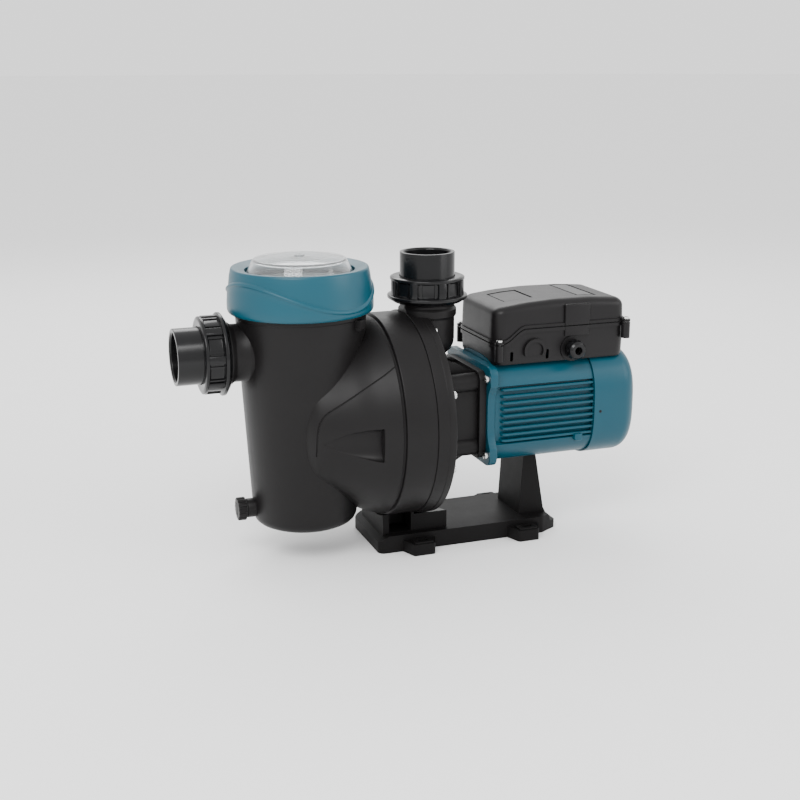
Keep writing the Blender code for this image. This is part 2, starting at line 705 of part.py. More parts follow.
def box_envelope(name, inset, material=BLACK):
    """The box as one solid: an arched side outline crossed with a plan with round corners."""
    left, right, half = BOX_LEFT + inset, BOX_RIGHT - inset, BOX_HALF - inset
    crown = 339.0 - inset
    side = rounded([(left, BOX_FLOOR_Z + inset, 0), (right, BOX_FLOOR_Z + inset, 0), (right, 300, 0),
                    (right - 4, crown - 4, 5), (right - 40, crown, 30), (left + 95, crown, 60),
                    (left + 3.5, crown - 8, 6), (left, 300, 0)], 3)
    envelope = prism(name, side, -half, half, "y", material, round_low=4, round_high=4, steps=1)
    plan = rounded([(left, -half, 12), (right, -half, 12), (right, half, 12), (left, half, 12)], 3)
    keep(envelope, prism(f"{name}_plan", plan, BOX_FLOOR_Z - 20, 360, "z", material))
    return envelope


def motor_envelope(name, half, low_x, high_x):
    """The space the motor takes, as a cutter. Heights are measured along X from the pot's axis."""
    return prism(name, squircle(half), low_x, high_x, "x", BLACK, (POT_X, 0, SHAFT_Z))


def ear_rods(name, below, above, radius):
    """Upright rods on the box screws' centres, from below the seam to above it."""
    solids = [(circle(radius, 10, (x, y)), seam - below, seam + above, "z") for x, y, seam in BOX_SCREWS]
    return prisms(name, solids, BLACK)


def box_base():
    base = box_envelope("box_base", 0)
    join(base, ear_rods("base_ears", 15, 8, 6.2))
    below = prism("base_below", seam_outline(-0.9, low_z=200), -90, 90, "y", BLACK)
    keep(base, below)
    arch = prisms("knockout_arch", [(circle(13.6, 20, (POT_X + 311.5, 273.5)), -68.0, -60, "y")], BLACK)
    join(base, arch)
    cut(base, box_envelope("base_inside", BOX_WALL))
    cut(base, ear_rods("base_ear_holes", 13, 12, 1.9))
    slots = [(square_points(x - 2.2, x + 2.2, 257.5, 271), -70, -60, "y")
             for x in (POT_X + 278, POT_X + 331.6)]
    cut(base, prisms("base_slots", slots, BLACK))
    cut(base, rod("gland_hole", 8.4, 55, 72, (GLAND_X, 0, GLAND_Z), "-y", 16))
    cut(base, motor_envelope("base_saddle", MOTOR_HALF + 0.6, 230, 402),
        motor_envelope("cover_saddle", FAN_COVER_HALF + 0.6, 398, 490))
    return base


def box_lid():
    lid = box_envelope("box_lid", 0)
    bump = rounded([(POT_X + 356, 296, 0), (POT_X + 394, 296, 0), (POT_X + 394, 337, 3),
                    (POT_X + 356, 337, 3)])
    join(lid, prism("lid_bump", bump, -69, -55, "y", BLACK))
    join(lid, ear_rods("lid_ears", 8, 3.4, 6.2))
    keep(lid, prism("lid_above", seam_outline(0.9, high_z=400), -90, 90, "y", BLACK))
    cut(lid, box_envelope("lid_inside", BOX_WALL))
    cut(lid, ear_rods("lid_ear_holes", 20, 12, 2.4))
    return lid


def box_gasket():
    gasket = box_envelope("box_gasket", 0.7, RUBBER)
    keep(gasket, prism("gasket_layer", [*seam_outline(0.55, low_z=0)[:-2],
                                        *reversed(seam_outline(-0.55, low_z=0)[:-2])], -90, 90, "y", BLACK))
    cut(gasket, box_envelope("gasket_inside", 2.4))
    return gasket


def box_screws():
    for index, (x, y, seam) in enumerate(BOX_SCREWS):
        seat = seam + 3.7
        outline = [(0, seat + 3), (4.2, seat + 3), (4.2, seat), (1.5, seat), (1.5, seat - 15),
                   (0, seat - 15)]
        turned(f"box_screw_{index + 1}", outline, STEEL, (x, y, 0), "+z", 8)


def cable_gland():
    """A hollow gland body through the wall, with a hexagon outside it, and its round nut."""
    place = (GLAND_X, 0, GLAND_Z)
    outline = [(9, 79), (9, 70), (8, 70), (8, 56), (5.2, 56), (5.2, 79)]
    body = turned("gland_body", outline, UNION_BLACK, place, "-y", 16)
    collar = copies_round("gland_hex", circle(12.4, 6), 65.4, 70.2, 1, 0, UNION_BLACK, place, "-y")
    cut(collar, rod("gland_hex_bore", 6.5, 60, 75, place, "-y", 12))
    join(body, collar)
    outline = [(10.5, 86), (13.2, 81), (13.2, 70.6), (9.4, 70.6), (9.4, 79.4), (5.4, 79.4), (5.4, 86)]
    turned("gland_nut", outline, UNION_BLACK, place, "-y", 16)


def drive_board():
    left, right = BOX_LEFT + 20, BOX_RIGHT - 20
    board = block("drive_board", (left, -48, 284), (right, 48, 285.6), BOARD)
    pieces = [(square_points(left + 20, left + 60, -30, 10), 285, 300, "z"),
              (circle(11, 16, (left + 95, 20)), 285, 318, "z"),
              (circle(11, 16, (left + 122, 20)), 285, 318, "z"),
              (square_points(left + 80, left + 150, -40, -15), 285, 310, "z")]
    join(board, prisms("board_parts", pieces, BOARD))
    posts = [(circle(4, 10, (x, y)), 266, 285, "z") for x in (left + 8, right - 8) for y in (-40, 40)]
    join(board, prisms("board_posts", posts, BOARD))
    return board


# Base

def base_plate():
    """The plate with its round corners, a ramp at the left end and a low toe at the right end."""
    plan = rounded([(BASE_LEFT, -BASE_HALF, 9), (POT_X + 334, -BASE_HALF, 12), (BASE_RIGHT, -43, 10),
                    (BASE_RIGHT, 43, 10), (POT_X + 334, BASE_HALF, 12), (BASE_LEFT, BASE_HALF, 9)])
    plate = prism("base_frame", plan, 0, BASE_TOP, "z", BLACK, round_high=2.5, steps=1)
    ramp = [(BASE_LEFT - 5, 13), (POT_X + 104, BASE_TOP + 1), (POT_X + 104, 40), (BASE_LEFT - 5, 40)]
    toe = [(POT_X + 346, BASE_TOP + 1), (POT_X + 351, 13), (BASE_RIGHT + 5, 10), (BASE_RIGHT + 5, 40),
           (POT_X + 346, 40)]
    cut(plate, prisms("plate_ends", [(ramp, -70, 70, "y"), (toe, -70, 70, "y")], BLACK))
    return plate


def slot_outline(x, y):
    half_length, half_width = 8.0, 4.5
    ends = [(x - half_length + half_width, 90), (x + half_length - half_width, 270)]
    points = []
    for centre_x, first in ends:
        for step in range(5):
            angle = math.radians(first + 45 * step)
            points.append((centre_x + half_width * math.cos(angle), y + half_width * math.sin(angle)))
    return points


def saddle_block(name, low_x, high_x, half, radius):
    """A block whose top is hollowed round the shaft's axis."""
    steps = 8
    top = []
    for step in range(steps + 1):
        across = half - 2 * half * step / steps
        top.append((across, SHAFT_Z - math.sqrt(radius ** 2 - across ** 2)))
    return prism(name, [(-half, 12), (half, 12), *top], low_x, high_x, "x", BLACK)


def base_frame():
    """The plate with a saddle under the barrel, a pedestal under the motor and four slotted lugs."""
    base = base_plate()
    barrel_space = BARREL_R + 0.5
    join(base, saddle_block("saddle_front", POT_X + 97, POT_X + 106, 47, barrel_space),
         saddle_block("saddle_rib", POT_X + 101, POT_X + 141, 13, barrel_space),
         saddle_block("saddle_back", POT_X + 138, POT_X + 191, 46.5, BARREL_R + 3.6))
    pedestal_side = [(POT_X + 306, 14), (POT_X + 353, 14), (POT_X + 344, 30), (POT_X + 331, 112),
                     (POT_X + 312, 112)]
    pedestal = prism("base_pedestal", pedestal_side, -37, 37, "y", BLACK)
    lugs = []
    slots = []
    for x in LUG_X:
        for way in (-1, 1):
            outline = rounded([(x - 27, way * 50, 0), (x + 27, way * 50, 0), (x + 15, way * LUG_TIP, 4),
                               (x - 15, way * LUG_TIP, 4)])
            lugs.append((outline, 0, LUG_TOP, "z"))
            slots.append((slot_outline(x, way * SLOT_Y), -5, 30, "z"))
    hollows = [(square_points(POT_X + 97.5, POT_X + 199, -49, 49), -5, 18.5, "z"),
               (square_points(POT_X + 205, POT_X + 300, -49, 49), -5, 18.5, "z")]
    join(base, pedestal, prisms("base_lugs_all", lugs, BLACK))
    cut(base, prisms("base_cuts", hollows + slots, BLACK),
        motor_envelope("pedestal_space", MOTOR_HALF + 0.4, 290, 370))
    return base


# Assembly

def build():
    pump_body()
    rear_cover()
    casing_screws()
    ring_seal("casing_seal", 125.2, 1.7, (POT_X + 144.3, 0, SHAFT_Z), "+x")
    clear_lid()
    lid_ring()
    ring_seal("lid_seal", 85.9, 1.25, (POT_X, 0, 379.75))
    strainer_basket()
    basket_handle()
    union_set("suction", (SUCTION_SEAT_X, 0, SUCTION_Z), "-x")
    union_set("discharge", (DISCHARGE_X, 0, DISCHARGE_SEAT_Z), "+z")
    drain_parts()
    diffuser()
    impeller()
    shaft_seal()
    motor_shaft()
    lantern_bracket()
    front_shield()
    flange_screws()
    bearing("bearing_front", 246.3)
    motor_core()
    motor_housing()
    bearing("bearing_rear", 387.5)
    rear_shield()
    cooling_fan()
    fan_cover()
    box_base()
    box_lid()
    box_gasket()
    box_screws()
    cable_gland()
    drive_board()
    base_frame()


build()
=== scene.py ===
"""The look of a self-priming pool pump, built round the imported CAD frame.

Lengths are in millimetres and become metres where a mesh is made. X runs along the shaft,
from the suction union to the fan cover, -Y faces the camera's side and the base stands on z = 0.
Heights of pieces turned about the shaft are measured along X from the strainer pot's axis.
"""

import json
import math

import bmesh
import bpy
from mathutils import Matrix, Vector


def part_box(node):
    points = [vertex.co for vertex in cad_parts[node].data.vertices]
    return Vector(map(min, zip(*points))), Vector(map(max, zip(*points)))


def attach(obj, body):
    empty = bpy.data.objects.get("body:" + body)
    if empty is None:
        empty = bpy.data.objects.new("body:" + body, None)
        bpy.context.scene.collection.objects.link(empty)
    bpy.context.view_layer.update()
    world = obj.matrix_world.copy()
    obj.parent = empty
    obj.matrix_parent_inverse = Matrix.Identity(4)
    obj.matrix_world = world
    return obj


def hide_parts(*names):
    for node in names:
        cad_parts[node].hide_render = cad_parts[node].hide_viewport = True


MM = 0.001

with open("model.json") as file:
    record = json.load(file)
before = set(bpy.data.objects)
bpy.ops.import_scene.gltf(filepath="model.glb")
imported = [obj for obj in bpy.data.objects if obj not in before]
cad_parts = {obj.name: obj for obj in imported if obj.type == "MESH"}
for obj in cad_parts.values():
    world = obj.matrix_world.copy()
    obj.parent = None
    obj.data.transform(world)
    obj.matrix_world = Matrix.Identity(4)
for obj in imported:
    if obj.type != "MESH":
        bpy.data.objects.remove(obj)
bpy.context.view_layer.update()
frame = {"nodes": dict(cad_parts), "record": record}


def box_mm(node):
    low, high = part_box(node)
    return low / MM, high / MM


def middle(node):
    low, high = box_mm(node)
    return (low + high) / 2


# Driving dimensions, from the frame
POT_X = middle("lid_ring").x
SHAFT_Z = middle("motor_shaft").z
SUCTION_Z = middle("suction_nut").z
DISCHARGE_X = middle("discharge_nut").x
SUCTION_SEAT_X = box_mm("suction_tailpiece")[1].x
DISCHARGE_SEAT_Z = box_mm("discharge_tailpiece")[0].z
DRAIN_Z = middle("drain_plug").z
GLAND = middle("gland_nut")
BOX_LEFT = box_mm("box_gasket")[0].x - 0.7
BOX_RIGHT = box_mm("box_gasket")[1].x + 0.7
HANDLE_Z = middle("basket_handle").z
BASE_LEFT, BASE_RIGHT = (corner.x for corner in box_mm("base_frame"))

# The pot, its ring and the barrel
POT_FOOT_Z = 45.0
POT_RIM_Z = box_mm("pump_body")[1].z
POT_TOP_R = 86.9
POT_FOOT_R = 70.3
POT_NECK_R = 88.3
POT_WALL = 4.2
BARREL_R = 140.0
FLANGE_R = box_mm("rear_cover")[1].y - 0.05
SCREW_CIRCLE_R = 131.0
MOTOR_HALF = 76.0
FAN_COVER_HALF = 78.5
BASE_HALF = 58.8
BASE_TOP = 24.0
BOX_HALF = 65.0
SEAM_LEFT_Z = 283.0
SEAM_RIGHT_Z = 302.0
LUG_X = (POT_X + 146.0, POT_X + 303.0)
SLOT_Y = 71.0
LUG_TIP = 82.0
LUG_TOP = 16.0

# Segments round large, middling and small turned pieces
ROUND = 160
ROUND_SMALL = 96
ROUND_TINY = 40

AXES = {"+z": Matrix(), "+x": Matrix.Rotation(math.pi / 2, 4, "Y"),
        "-x": Matrix.Rotation(-math.pi / 2, 4, "Y"),
        "-y": Matrix.Rotation(math.pi / 2, 4, "X"), "+y": Matrix.Rotation(-math.pi / 2, 4, "X")}


# Materials

def shader_material(name, color, roughness, metallic=0.0, coat=0.0, mottle=0.1, mottle_scale=14.0,
                    grain_scale=900.0, grain_height=0.00006, roughness_swing=0.05, specular=0.5):
    """A Principled material with cloudy colour, uneven gloss and a fine moulded or cast grain."""
    material = bpy.data.materials.new(name)
    material.use_nodes = True
    nodes, links = material.node_tree.nodes, material.node_tree.links
    shader = nodes["Principled BSDF"]
    shader.inputs["Metallic"].default_value = metallic
    shader.inputs["Specular IOR Level"].default_value = specular
    shader.inputs["Coat Weight"].default_value = coat
    shader.inputs["Coat Roughness"].default_value = 0.25
    place = nodes.new("ShaderNodeTexCoord")

    def cloud(scale, detail, roughen=0.55):
        texture = nodes.new("ShaderNodeTexNoise")
        texture.inputs["Scale"].default_value = scale
        texture.inputs["Detail"].default_value = detail
        texture.inputs["Roughness"].default_value = roughen
        links.new(place.outputs["Object"], texture.inputs["Vector"])
        return texture.outputs["Fac"]

    blend = nodes.new("ShaderNodeMix")
    blend.data_type = "RGBA"
    blend.inputs["A"].default_value = (*[value * (1 - mottle) for value in color], 1)
    blend.inputs["B"].default_value = (*[min(value * (1 + mottle), 1) for value in color], 1)
    links.new(cloud(mottle_scale, 5), blend.inputs["Factor"])
    links.new(blend.outputs["Result"], shader.inputs["Base Color"])
    gloss = nodes.new("ShaderNodeMapRange")
    gloss.inputs["To Min"].default_value = max(roughness - roughness_swing, 0.02)
    gloss.inputs["To Max"].default_value = roughness + roughness_swing
    links.new(cloud(mottle_scale * 3, 4), gloss.inputs["Value"])
    links.new(gloss.outputs["Result"], shader.inputs["Roughness"])
    if grain_height:
        bump = nodes.new("ShaderNodeBump")
        bump.inputs["Strength"].default_value = 1.0
        bump.inputs["Distance"].default_value = grain_height
        links.new(cloud(grain_scale, 3), bump.inputs["Height"])
        links.new(bump.outputs["Normal"], shader.inputs["Normal"])
    return material


def brushed_material(name, color, roughness, stretch=(1.0, 1.0, 0.02)):
    """Turned or brushed metal: a noise stretched along the tool marks."""
    material = shader_material(name, color, roughness, metallic=1.0, mottle=0.05, grain_height=0.0)
    nodes, links = material.node_tree.nodes, material.node_tree.links
    shader = nodes["Principled BSDF"]
    place = nodes.new("ShaderNodeTexCoord")
    mapping = nodes.new("ShaderNodeMapping")
    mapping.inputs["Scale"].default_value = stretch
    marks = nodes.new("ShaderNodeTexNoise")
    marks.inputs["Scale"].default_value = 2600.0
    bump = nodes.new("ShaderNodeBump")
    bump.inputs["Distance"].default_value = 0.00002
    links.new(place.outputs["Object"], mapping.inputs["Vector"])
    links.new(mapping.outputs["Vector"], marks.inputs["Vector"])
    links.new(marks.outputs["Fac"], bump.inputs["Height"])
    links.new(bump.outputs["Normal"], shader.inputs["Normal"])
    return material


def clear_material():
    """Moulded polycarbonate: clear, with a faint haze."""
    material = shader_material("clear_polycarbonate", (0.86, 0.89, 0.9), 0.07, mottle=0.02, grain_height=0.0,
                               roughness_swing=0.03)
    shader = material.node_tree.nodes["Principled BSDF"]
    shader.inputs["Transmission Weight"].default_value = 0.92
    shader.inputs["IOR"].default_value = 1.45
    return material


def laminated_material():
    """A stack of punched steel sheets, each 0.5 mm thick along the shaft."""
    material = shader_material("core_steel", (0.32, 0.32, 0.33), 0.45, metallic=1.0, grain_height=0.0)
    nodes, links = material.node_tree.nodes, material.node_tree.links
    place = nodes.new("ShaderNodeTexCoord")
    sheets = nodes.new("ShaderNodeTexWave")
    sheets.bands_direction = "X"
    sheets.inputs["Scale"].default_value = 640.0
    bump = nodes.new("ShaderNodeBump")
    bump.inputs["Distance"].default_value = 0.0001
    links.new(place.outputs["Object"], sheets.inputs["Vector"])
    links.new(sheets.outputs["Fac"], bump.inputs["Height"])
    links.new(bump.outputs["Normal"], nodes["Principled BSDF"].inputs["Normal"])
    return material


BLACK = shader_material("black_plastic", (0.0066, 0.0060, 0.0062), 0.42, mottle=0.16, grain_height=0.00005,
                        specular=0.17)
BOX_BLACK = shader_material("box_plastic", (0.0066, 0.0060, 0.0064), 0.38, mottle=0.12, grain_scale=1300.0,
                            grain_height=0.00008, specular=0.2)
BASE_BLACK = shader_material("base_plastic", (0.0048, 0.0044, 0.0045), 0.5, mottle=0.16, grain_height=0.00005,
                             specular=0.1)
PLATE_GREY = shader_material("plate_plastic", (0.032, 0.032, 0.033), 0.4, mottle=0.08, specular=0.3)
UNION_BLACK = shader_material("union_plastic", (0.004, 0.004, 0.0045), 0.2, mottle=0.12, mottle_scale=30.0,
                              grain_height=0.00002, specular=0.27)
TEAL = shader_material("teal_paint", (0.0035, 0.052, 0.078), 0.36, coat=0.05, mottle=0.07, grain_scale=420.0,
                       grain_height=0.00005, specular=0.22)
TEAL_PLASTIC = shader_material("teal_plastic", (0.0045, 0.062, 0.092), 0.36, mottle=0.07, grain_scale=1100.0,
                               grain_height=0.00003, specular=0.3)
CLEAR = clear_material()
RUBBER = shader_material("seal_rubber", (0.018, 0.018, 0.018), 0.75, grain_height=0.00008)
STEEL = brushed_material("stainless_steel", (0.66, 0.66, 0.65), 0.24)
LAMINATION = laminated_material()
COPPER = shader_material("copper_winding", (0.62, 0.27, 0.12), 0.32, metallic=0.9, mottle=0.2,
                         mottle_scale=300.0,
                         grain_scale=1500.0, grain_height=0.0002)
CERAMIC = shader_material("seal_ceramic", (0.8, 0.78, 0.72), 0.3, mottle=0.04, grain_height=0.00001)
CARBON = shader_material("seal_carbon", (0.04, 0.04, 0.042), 0.42, grain_height=0.00001)
INNER_PLASTIC = shader_material("pump_plastic", (0.09, 0.09, 0.092), 0.5, mottle=0.15)
BASKET_PLASTIC = shader_material("basket_plastic", (0.5, 0.52, 0.53), 0.45, mottle=0.05)
BOARD = shader_material("circuit_board", (0.03, 0.2, 0.08), 0.4, mottle=0.25, mottle_scale=120.0)

NODE_MATERIALS = {
    "black_plastic": BLACK, "union_plastic": UNION_BLACK, "teal_paint": TEAL, "teal_plastic": TEAL_PLASTIC,
    "clear_polycarbonate": CLEAR, "seal_rubber": RUBBER, "stainless_steel": STEEL, "core_steel": LAMINATION,
    "copper_winding": COPPER, "seal_ceramic": CERAMIC, "seal_carbon": CARBON, "pump_plastic": INNER_PLASTIC,
    "basket_plastic": BASKET_PLASTIC, "circuit_board": BOARD}


def dress_frame():
    """Gives every carried-over CAD node the finish of its material slot."""
    for entry in frame["record"]["subparts"]:
        mesh = frame["nodes"][entry["node"]].data
        mesh.materials.clear()
        mesh.materials.append(NODE_MATERIALS[entry["material_slot"]])


# Outlines

def rounded(corners, steps=4, closed=True):
    """Points through (x, y, radius) corners, each corner rounded with an arc of its radius."""
    points = []
    last = len(corners) - 1
    for index, (x, y, radius) in enumerate(corners):
        here = Vector((x, y))
        if radius == 0 or (not closed and index in (0, last)):
            points.append((x, y))
            continue
        back = (Vector(corners[index - 1][:2]) - here).normalized()
        ahead = (Vector(corners[(index + 1) % len(corners)][:2]) - here).normalized()
        half_angle = back.angle(ahead) / 2
        centre = here + (back + ahead).normalized() * radius / math.sin(half_angle)
        start = here + back * radius / math.tan(half_angle) - centre
        end = here + ahead * radius / math.tan(half_angle) - centre
        for step in range(steps + 1):
            points.append(tuple(centre + start.slerp(end, step / steps) * radius))
    return points


def flowing(points, steps=5):
    """A smooth line through the points."""
    line = []
    for index in range(len(points) - 1):
        before = Vector(points[max(index - 1, 0)])
        start, end = Vector(points[index]), Vector(points[index + 1])
        after = Vector(points[min(index + 2, len(points) - 1)])
        for step in range(steps):
            share = step / steps
            line.append(tuple(0.5 * (2 * start + (end - before) * share
                                     + (2 * before - 5 * start + 4 * end - after) * share ** 2
                                     + (3 * start - before - 3 * end + after) * share ** 3)))
    line.append(tuple(points[-1]))
    return line


def circle(radius, count, centre=(0, 0)):
    angles = [2 * math.pi * (index + 0.5) / count for index in range(count)]
    return [(centre[0] + radius * math.cos(a), centre[1] + radius * math.sin(a)) for a in angles]


def squircle(half, count=128, power=3.0):
    """A square outline with very round corners."""
    points = []
    for index in range(count):
        angle = 2 * math.pi * (index + 0.5) / count
        across, up = math.cos(angle), math.sin(angle)
        points.append((math.copysign(half * abs(across) ** (2 / power), across),
                       math.copysign(half * abs(up) ** (2 / power), up)))
    return points


def squircle_side(half, height, power=3.0):
    return half * (1 - (abs(height) / half) ** power) ** (1 / power)


def rectangle(low_x, high_x, low_y, high_y, radius=0.0, steps=4):
    corners = [(low_x, low_y, radius), (high_x, low_y, radius),
               (high_x, high_y, radius), (low_x, high_y, radius)]
    return rounded(corners, steps)


# Meshes and objects

def shade(mesh, sharp_degrees=32):
    mesh.shade_smooth()
    mesh.set_sharp_from_angle(angle=math.radians(sharp_degrees))


def new_piece(name, bm, material, place=(0, 0, 0), way="+z", sharp=32):
    bmesh.ops.transform(bm, matrix=Matrix.Translation(Vector(place) * MM) @ AXES[way], verts=bm.verts)
    bmesh.ops.recalc_face_normals(bm, faces=bm.faces)
    mesh = bpy.data.meshes.new(name)
    bm.to_mesh(mesh)
    bm.free()
    shade(mesh, sharp)
    piece = bpy.data.objects.new(name, mesh)
    mesh.materials.append(material)
    bpy.context.scene.collection.objects.link(piece)
    return piece


def turn_into(bm, outline, segments):
    """Adds a solid turned about Z to a mesh. The outline is (radius, height) in millimetres."""
    flat_first = outline[0][0] < 1e-6 and abs(outline[0][1] - outline[1][1]) < 1e-6
    flat_last = outline[-1][0] < 1e-6 and abs(outline[-1][1] - outline[-2][1]) < 1e-6
    outline = outline[1 if flat_first else 0:len(outline) - 1 if flat_last else len(outline)]
    rings = []
    for radius, height in outline:
        if radius < 1e-6:
            rings.append([bm.verts.new((0, 0, height * MM))])
            continue
        ring = []
        for index in range(segments):
            angle = 2 * math.pi * (index + 0.5) / segments
            ring.append(bm.verts.new((radius * math.cos(angle) * MM, radius * math.sin(angle) * MM,
                                      height * MM)))
        rings.append(ring)
    pairs = list(zip(rings, rings[1:]))
    if flat_first:
        bm.faces.new(rings[0])
    if flat_last:
        bm.faces.new(rings[-1])
    if not flat_first and not flat_last and len(rings[0]) > 1 and len(rings[-1]) > 1:
        pairs.append((rings[-1], rings[0]))
    for upper, lower in pairs:
        if len(upper) == len(lower) == 1:
            continue
        for index in range(segments):
            after = (index + 1) % segments
            if len(upper) == 1:
                bm.faces.new((upper[0], lower[index], lower[after]))
            elif len(lower) == 1:
                bm.faces.new((upper[index], lower[0], upper[after]))
            else:
                bm.faces.new((upper[index], lower[index], lower[after], upper[after]))


def turned(name, outline, material, place=(0, 0, 0), way="+z", segments=ROUND, sharp=32):
    bm = bmesh.new()
    turn_into(bm, outline, segments)
    return new_piece(name, bm, material, place, way, sharp)


def prism_into(bm, outline, low, high, axis="z"):
    """Adds an outline extruded along an axis to a mesh."""
    order = {"x": (2, 0, 1), "y": (0, 2, 1), "z": (0, 1, 2)}[axis]

    def point(across, up, along):
        values = (across, up, along)
        return Vector([values[place] for place in order]) * MM

    lower = [bm.verts.new(point(across, up, low)) for across, up in outline]
    upper = [bm.verts.new(point(across, up, high)) for across, up in outline]
    faces = [bm.faces.new(lower), bm.faces.new(upper)]
    for index in range(len(outline)):
        after = (index + 1) % len(outline)
        faces.append(bm.faces.new((lower[index], lower[after], upper[after], upper[index])))
    return faces


def prism(name, outline, low, high, axis, material, place=(0, 0, 0), way="+z", round_low=0, round_high=0,
          steps=4, sharp=32):
    """An extruded outline, with the rims of its end faces rounded if asked."""
    bm = bmesh.new()
    prism_into(bm, outline, low, high, axis)
    letter = "xyz".index(axis)
    for level, radius in ((low, round_low), (high, round_high)):
        if radius:
            rim = [edge for edge in bm.edges
                   if all(abs(vert.co[letter] - level * MM) < 1e-7 for vert in edge.verts)]
            bmesh.ops.bevel(bm, geom=rim, offset=radius * MM, segments=steps, profile=0.5, affect="EDGES")
    return new_piece(name, bm, material, place, way, sharp)


def prisms(name, solids, material=BLACK, place=(0, 0, 0), way="+z"):
    """Separate extrusions in one mesh."""
    bm = bmesh.new()
    for outline, low, high, axis in solids:
        prism_into(bm, outline, low, high, axis)
    return new_piece(name, bm, material, place, way)


def copies_round(name, outline, low, high, count, first_degrees, material=BLACK, place=(0, 0, 0), way="+z",
                 round_rims=0):
    """Equal extrusions along the local Z axis, spaced evenly round it."""
    bm = bmesh.new()
    for index in range(count):
        single = bmesh.new()
        prism_into(single, outline, low, high)
        if round_rims:
            rim = [edge for edge in single.edges if len({round(vert.co.z, 7) for vert in edge.verts}) == 1]
            bmesh.ops.bevel(single, geom=rim, offset=round_rims * MM, segments=2, profile=0.5, affect="EDGES")
        turn = Matrix.Rotation(math.radians(first_degrees) + 2 * math.pi * index / count, 4, "Z")
        bmesh.ops.transform(single, matrix=turn, verts=single.verts)
        bmesh.ops.recalc_face_normals(single, faces=single.faces)
        mesh = bpy.data.meshes.new("copy")
        single.to_mesh(mesh)
        single.free()
        bm.from_mesh(mesh)
        bpy.data.meshes.remove(mesh)
    return new_piece(name, bm, material, place, way)


def loft(name, rings, material, sharp=32, bent_end=False):
    """A solid through closed rings of points in millimetres, with a face on each end.

    A bent end is split into triangles, because its points don't lie in one plane.
    """
    bm = bmesh.new()
    loops = [[bm.verts.new(Vector(point) * MM) for point in ring] for ring in rings]
    for lower, upper in zip(loops, loops[1:]):
        for index in range(len(lower)):
            after = (index + 1) % len(lower)
            bm.faces.new((lower[index], lower[after], upper[after], upper[index]))
    bm.faces.new(loops[0])
    end = bm.faces.new(loops[-1])
    if bent_end:
        bmesh.ops.triangulate(bm, faces=[end], ngon_method="BEAUTY")
    return new_piece(name, bm, material, sharp=sharp)


def rod(name, radius, low, high, place=(0, 0, 0), way="+z", segments=ROUND_SMALL, material=BLACK, edge=0.0):
    outline = [(0, high, 0), (radius, high, edge), (radius, low, edge), (0, low, 0)]
    return turned(name, rounded(outline, 3, closed=False), material, place, way, segments)


def tube_along(name, points, radius, material=BLACK, sides=12):
    """A round bar along a line of points in millimetres, with closed ends."""
    curve = bpy.data.curves.new(name, "CURVE")
    curve.dimensions = "3D"
    spline = curve.splines.new("POLY")
    spline.points.add(len(points) - 1)
    for target, point in zip(spline.points, points):
        target.co = (*[value * MM for value in point], 1)
    curve.bevel_depth = radius * MM
    curve.bevel_resolution = (sides - 4) // 2
    curve.use_fill_caps = True
    holder = bpy.data.objects.new(name, curve)
    bpy.context.scene.collection.objects.link(holder)
    bpy.context.view_layer.update()
    mesh = bpy.data.meshes.new_from_object(holder.evaluated_get(bpy.context.evaluated_depsgraph_get()))
    bpy.data.objects.remove(holder)
    bm = bmesh.new()
    bm.from_mesh(mesh)
    bmesh.ops.remove_doubles(bm, verts=bm.verts, dist=1e-6)
    bpy.data.meshes.remove(mesh)
    return new_piece(name, bm, material)


def settle(piece, sharp=32):
    """Replaces a piece's mesh with the result of its modifiers."""
    bpy.context.view_layer.update()
    graph = bpy.context.evaluated_depsgraph_get()
    mesh = bpy.data.meshes.new_from_object(piece.evaluated_get(graph), depsgraph=graph)
    piece.modifiers.clear()
    old = piece.data
    piece.data = mesh
    bpy.data.meshes.remove(old)
    shade(mesh, sharp)


def combine(target, operation, tools, sharp=32):
    for tool in tools:
        boolean = target.modifiers.new("boolean", "BOOLEAN")
        boolean.operation = operation
        boolean.solver = "EXACT"
        boolean.object = tool
        boolean.material_mode = "TRANSFER"
        settle(target, sharp)
        bpy.data.objects.remove(tool)
    return target


def cut(target, *tools):
    return combine(target, "DIFFERENCE", tools)


def join(target, *tools):
    return combine(target, "UNION", tools)


def keep(target, *tools):
    return combine(target, "INTERSECT", tools)


def gather(name, pieces):
    """Joins pieces that belong to one part into one object, without cutting them."""
    bm = bmesh.new()
    materials = []
    for piece in pieces:
        start = len(bm.faces)
        bm.from_mesh(piece.data)
        bm.faces.ensure_lookup_table()
        slots = [materials.index(m) if m in materials else (materials.append(m) or len(materials) - 1)
                 for m in piece.data.materials]
        for face in bm.faces[start:]:
            face.material_index = slots[face.material_index]
        bpy.data.objects.remove(piece)
    mesh = bpy.data.meshes.new(name)
    bm.to_mesh(mesh)
    bm.free()
    for material in materials:
        mesh.materials.append(material)
    shade(mesh)
    whole = bpy.data.objects.new(name, mesh)
    bpy.context.scene.collection.objects.link(whole)
    return whole


def fit(piece, body, slot, *nodes):
    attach(piece, body)
    if nodes:
        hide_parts(*nodes)
    return piece


def along_shaft(name, outline, material, segments=ROUND, sharp=32):
    return turned(name, outline, material, (POT_X, 0, SHAFT_Z), "+x", segments, sharp)


# Camera, lights and floor

